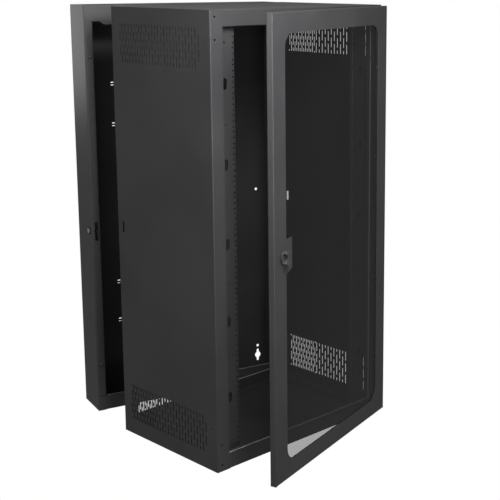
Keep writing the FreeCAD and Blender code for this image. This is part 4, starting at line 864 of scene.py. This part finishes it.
class CABINET_OT_springs(bpy.types.Operator):
    """Coil springs of the three spring-loaded hinge pins"""
    bl_idname = "cabinet.springs"
    bl_label = "Pin springs"

    def execute(self, context):
        sizes = context.scene.cabinet_fixings
        swing = Vector(JOINTS["cabinet_swing"]["pos_m"])
        hang = Vector(JOINTS["door_swing"]["pos_m"])
        low_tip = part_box("swing_pin_bottom")[0][2]
        high_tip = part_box("swing_pin_top")[1][2]
        door_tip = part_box("door_pin_top")[1][2]
        # how far from the pin's tip its moving collar and the fixed plate are, with the spring between
        swing_collar, swing_plate = 13.6 * MM, 49.9 * MM
        door_collar, door_plate = 40.1 * MM, 56.1 * MM
        play = 0.05 * MM            # between pin and wire
        # name, pin axis, collar height, fixed plate height, joint, body
        springs = (
            ("lower_hinge_pin_spring", swing, low_tip + swing_collar, low_tip + swing_plate,
             "swing_pin_bottom_pull", "cabinet"),
            ("upper_hinge_pin_spring", swing, high_tip - swing_collar, high_tip - swing_plate,
             "swing_pin_top_pull", "cabinet"),
            ("door_pin_spring", hang, door_tip - door_collar, door_tip - door_plate,
             "door_pin_pull", "door"),
        )
        tree = spring_tree()
        for name, axis, collar, plate, joint, body in springs:
            low, high = sorted((collar, plate))
            wire = sizes.spring_wire
            values = {"Turns": float(sizes.spring_turns), "Radius": sizes.pin + wire + play,
                      "Height": high - low - 2 * wire, "Wire": wire,
                      "Finish": finish("zinc_plated_steel")}
            spring = grown(name, bpy.data.meshes.new(name), tree, values)
            spring.data.transform(Matrix.Translation((axis.x, axis.y, low + wire)))
            spring.data.shade_smooth()
            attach(spring, body)
            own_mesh(spring)
        return {"FINISHED"}


def lay_floor(studio, level):
    """Floor of white studio paper: white to the eye, and it keeps the cabinet's shadow."""
    material = bpy.data.materials.new("White studio paper")
    tree = emptied(material)
    grey = 0.45                     # the paper's own tone, seen only by the light it throws back
    paper = add(tree, "ShaderNodeBsdfDiffuse", Color=(grey, grey, grey, 1.0))
    white = add(tree, "ShaderNodeEmission", Color=WHITE, Strength=1.0)
    # reflections see the floor as bright as the wall behind it, so no horizon shows in the window
    even = add(tree, "ShaderNodeEmission", Color=WHITE, Strength=studio.fill)
    ray = add(tree, "ShaderNodeLightPath")
    seen = add(tree, "ShaderNodeMath",
               [(0, ray.outputs["Is Camera Ray"]), (1, ray.outputs["Is Transmission Ray"])],
               operation="MAXIMUM")
    mirrored = add(tree, "ShaderNodeMixShader",
                   [(0, ray.outputs["Is Glossy Ray"]), (1, paper.outputs[0]), (2, even.outputs[0])])
    mixed = add(tree, "ShaderNodeMixShader",
                [(0, seen.outputs[0]), (1, mirrored.outputs[0]), (2, white.outputs[0])])
    add(tree, "ShaderNodeOutputMaterial", [("Surface", mixed.outputs[0])])
    mesh = bpy.data.meshes.new("studio_floor")
    half = 6.0                      # half the floor's side, in metres
    corners = [(x * half, y * half, level) for x, y in ((-1, -1), (1, -1), (1, 1), (-1, 1))]
    mesh.from_pydata(corners, [], [(0, 1, 2, 3)])
    mesh.materials.append(material)
    linked("studio_floor", mesh)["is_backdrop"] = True


def light_world(studio):
    """Even light from all round, behind a white background."""
    world = bpy.data.worlds.new("White studio")
    bpy.context.scene.world = world
    tree = emptied(world)
    fill = add(tree, "ShaderNodeBackground", Color=WHITE, Strength=studio.fill)
    white = add(tree, "ShaderNodeBackground", Color=WHITE, Strength=1.0)
    ray = add(tree, "ShaderNodeLightPath")
    mixed = add(tree, "ShaderNodeMixShader",
                [(0, ray.outputs["Is Camera Ray"]), (1, fill.outputs[0]), (2, white.outputs[0])])
    add(tree, "ShaderNodeOutputWorld", [("Surface", mixed.outputs[0])])


def hang_softboxes(centre):
    """Soft lamps round the cabinet, each facing its centre."""
    # name, direction from the cabinet, distance, width and height in metres, watts
    softboxes = (
        ("Key softbox", (-0.15, -0.71, 0.69), 1.55, 0.6, 0.6, 35.0),
        ("Front fill", (-0.09, -0.99, 0.09), 1.7, 0.8, 0.8, 9.0),
        ("Left softbox", (-0.93, -0.28, 0.24), 3.2, 0.5, 1.0, 22.0),
        ("Back left softbox", (-0.17, 0.96, 0.22), 3.2, 1.0, 1.4, 16.0),
        ("Top softbox", (0.10, 0.20, 0.97), 3.0, 1.6, 1.6, 15.0),
    )
    for name, direction, distance, width, height, power in softboxes:
        data = bpy.data.lights.new(name, "AREA")
        data.shape = "RECTANGLE"
        data.size, data.size_y, data.energy = width, height, power
        light = linked(name, data)
        towards = Vector(direction).normalized()
        light.location = centre + towards * distance
        light.rotation_euler = towards.to_track_quat("Z", "Y").to_euler()


def aim_camera(studio):
    """Camera at its place, turned by its azimuth and elevation."""
    camera = linked("Camera", bpy.data.cameras.new("Camera"))
    a, e = studio.camera_azimuth, studio.camera_elevation
    back = Vector((math.sin(a) * math.cos(e), -math.cos(a) * math.cos(e), math.sin(e)))
    camera.location = studio.camera_place
    camera.rotation_euler = back.to_track_quat("Z", "Y").to_euler()
    camera.data.sensor_width = FULL_FRAME
    camera.data.lens = studio.camera_lens
    camera.data.shift_x, camera.data.shift_y = studio.camera_shift
    camera.data.dof.use_dof = False
    camera.data.clip_start, camera.data.clip_end = NEAREST, FARTHEST
    bpy.context.scene.camera = camera


class CABINET_OT_stage(bpy.types.Operator):
    """Adds the floor, the soft studio lights and the camera"""
    bl_idname = "cabinet.stage"
    bl_label = "Studio"

    def execute(self, context):
        studio = context.scene.cabinet_studio
        low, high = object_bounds()
        lay_floor(studio, low.z - studio.floor_drop)
        light_world(studio)
        hang_softboxes((low + high) / 2)
        aim_camera(studio)
        context.scene.view_settings.view_transform = "Standard"
        return {"FINISHED"}


OPERATORS = (CABINET_OT_finishes, CABINET_OT_rivets, CABINET_OT_screws, CABINET_OT_welds,
             CABINET_OT_painted_edge_highlights, CABINET_OT_wall_joints, CABINET_OT_bumpers, CABINET_OT_window_nuts,
             CABINET_OT_springs, CABINET_OT_stage)


class CABINET_PT_sidebar(bpy.types.Panel):
    """Lists the cabinet's steps and settings"""
    bl_idname = "CABINET_PT_sidebar"
    bl_label = "Rack cabinet"
    bl_space_type = "VIEW_3D"
    bl_region_type = "UI"
    bl_category = "Cabinet"

    def draw(self, context):
        for operator in OPERATORS:
            self.layout.operator(operator.bl_idname)
        scene = context.scene
        for group in (scene.cabinet_finishes, scene.cabinet_fixings, scene.cabinet_studio):
            for name in group.__annotations__:
                self.layout.prop(group, name)


CLASSES = (CabinetFinishes, FixingSizes, StudioSettings, *OPERATORS, CABINET_PT_sidebar)


def register():
    for cls in CLASSES:
        bpy.utils.register_class(cls)
    bpy.types.Scene.cabinet_finishes = bpy.props.PointerProperty(type=CabinetFinishes)
    bpy.types.Scene.cabinet_fixings = bpy.props.PointerProperty(type=FixingSizes)
    bpy.types.Scene.cabinet_studio = bpy.props.PointerProperty(type=StudioSettings)


def unregister():
    del bpy.types.Scene.cabinet_studio
    del bpy.types.Scene.cabinet_fixings
    del bpy.types.Scene.cabinet_finishes
    for cls in reversed(CLASSES):
        bpy.utils.unregister_class(cls)


def main():
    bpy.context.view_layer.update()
    register()
    for operator in OPERATORS:
        space, name = operator.bl_idname.split(".")
        getattr(getattr(bpy.ops, space), name)()


if __name__ == "__main__":
    main()
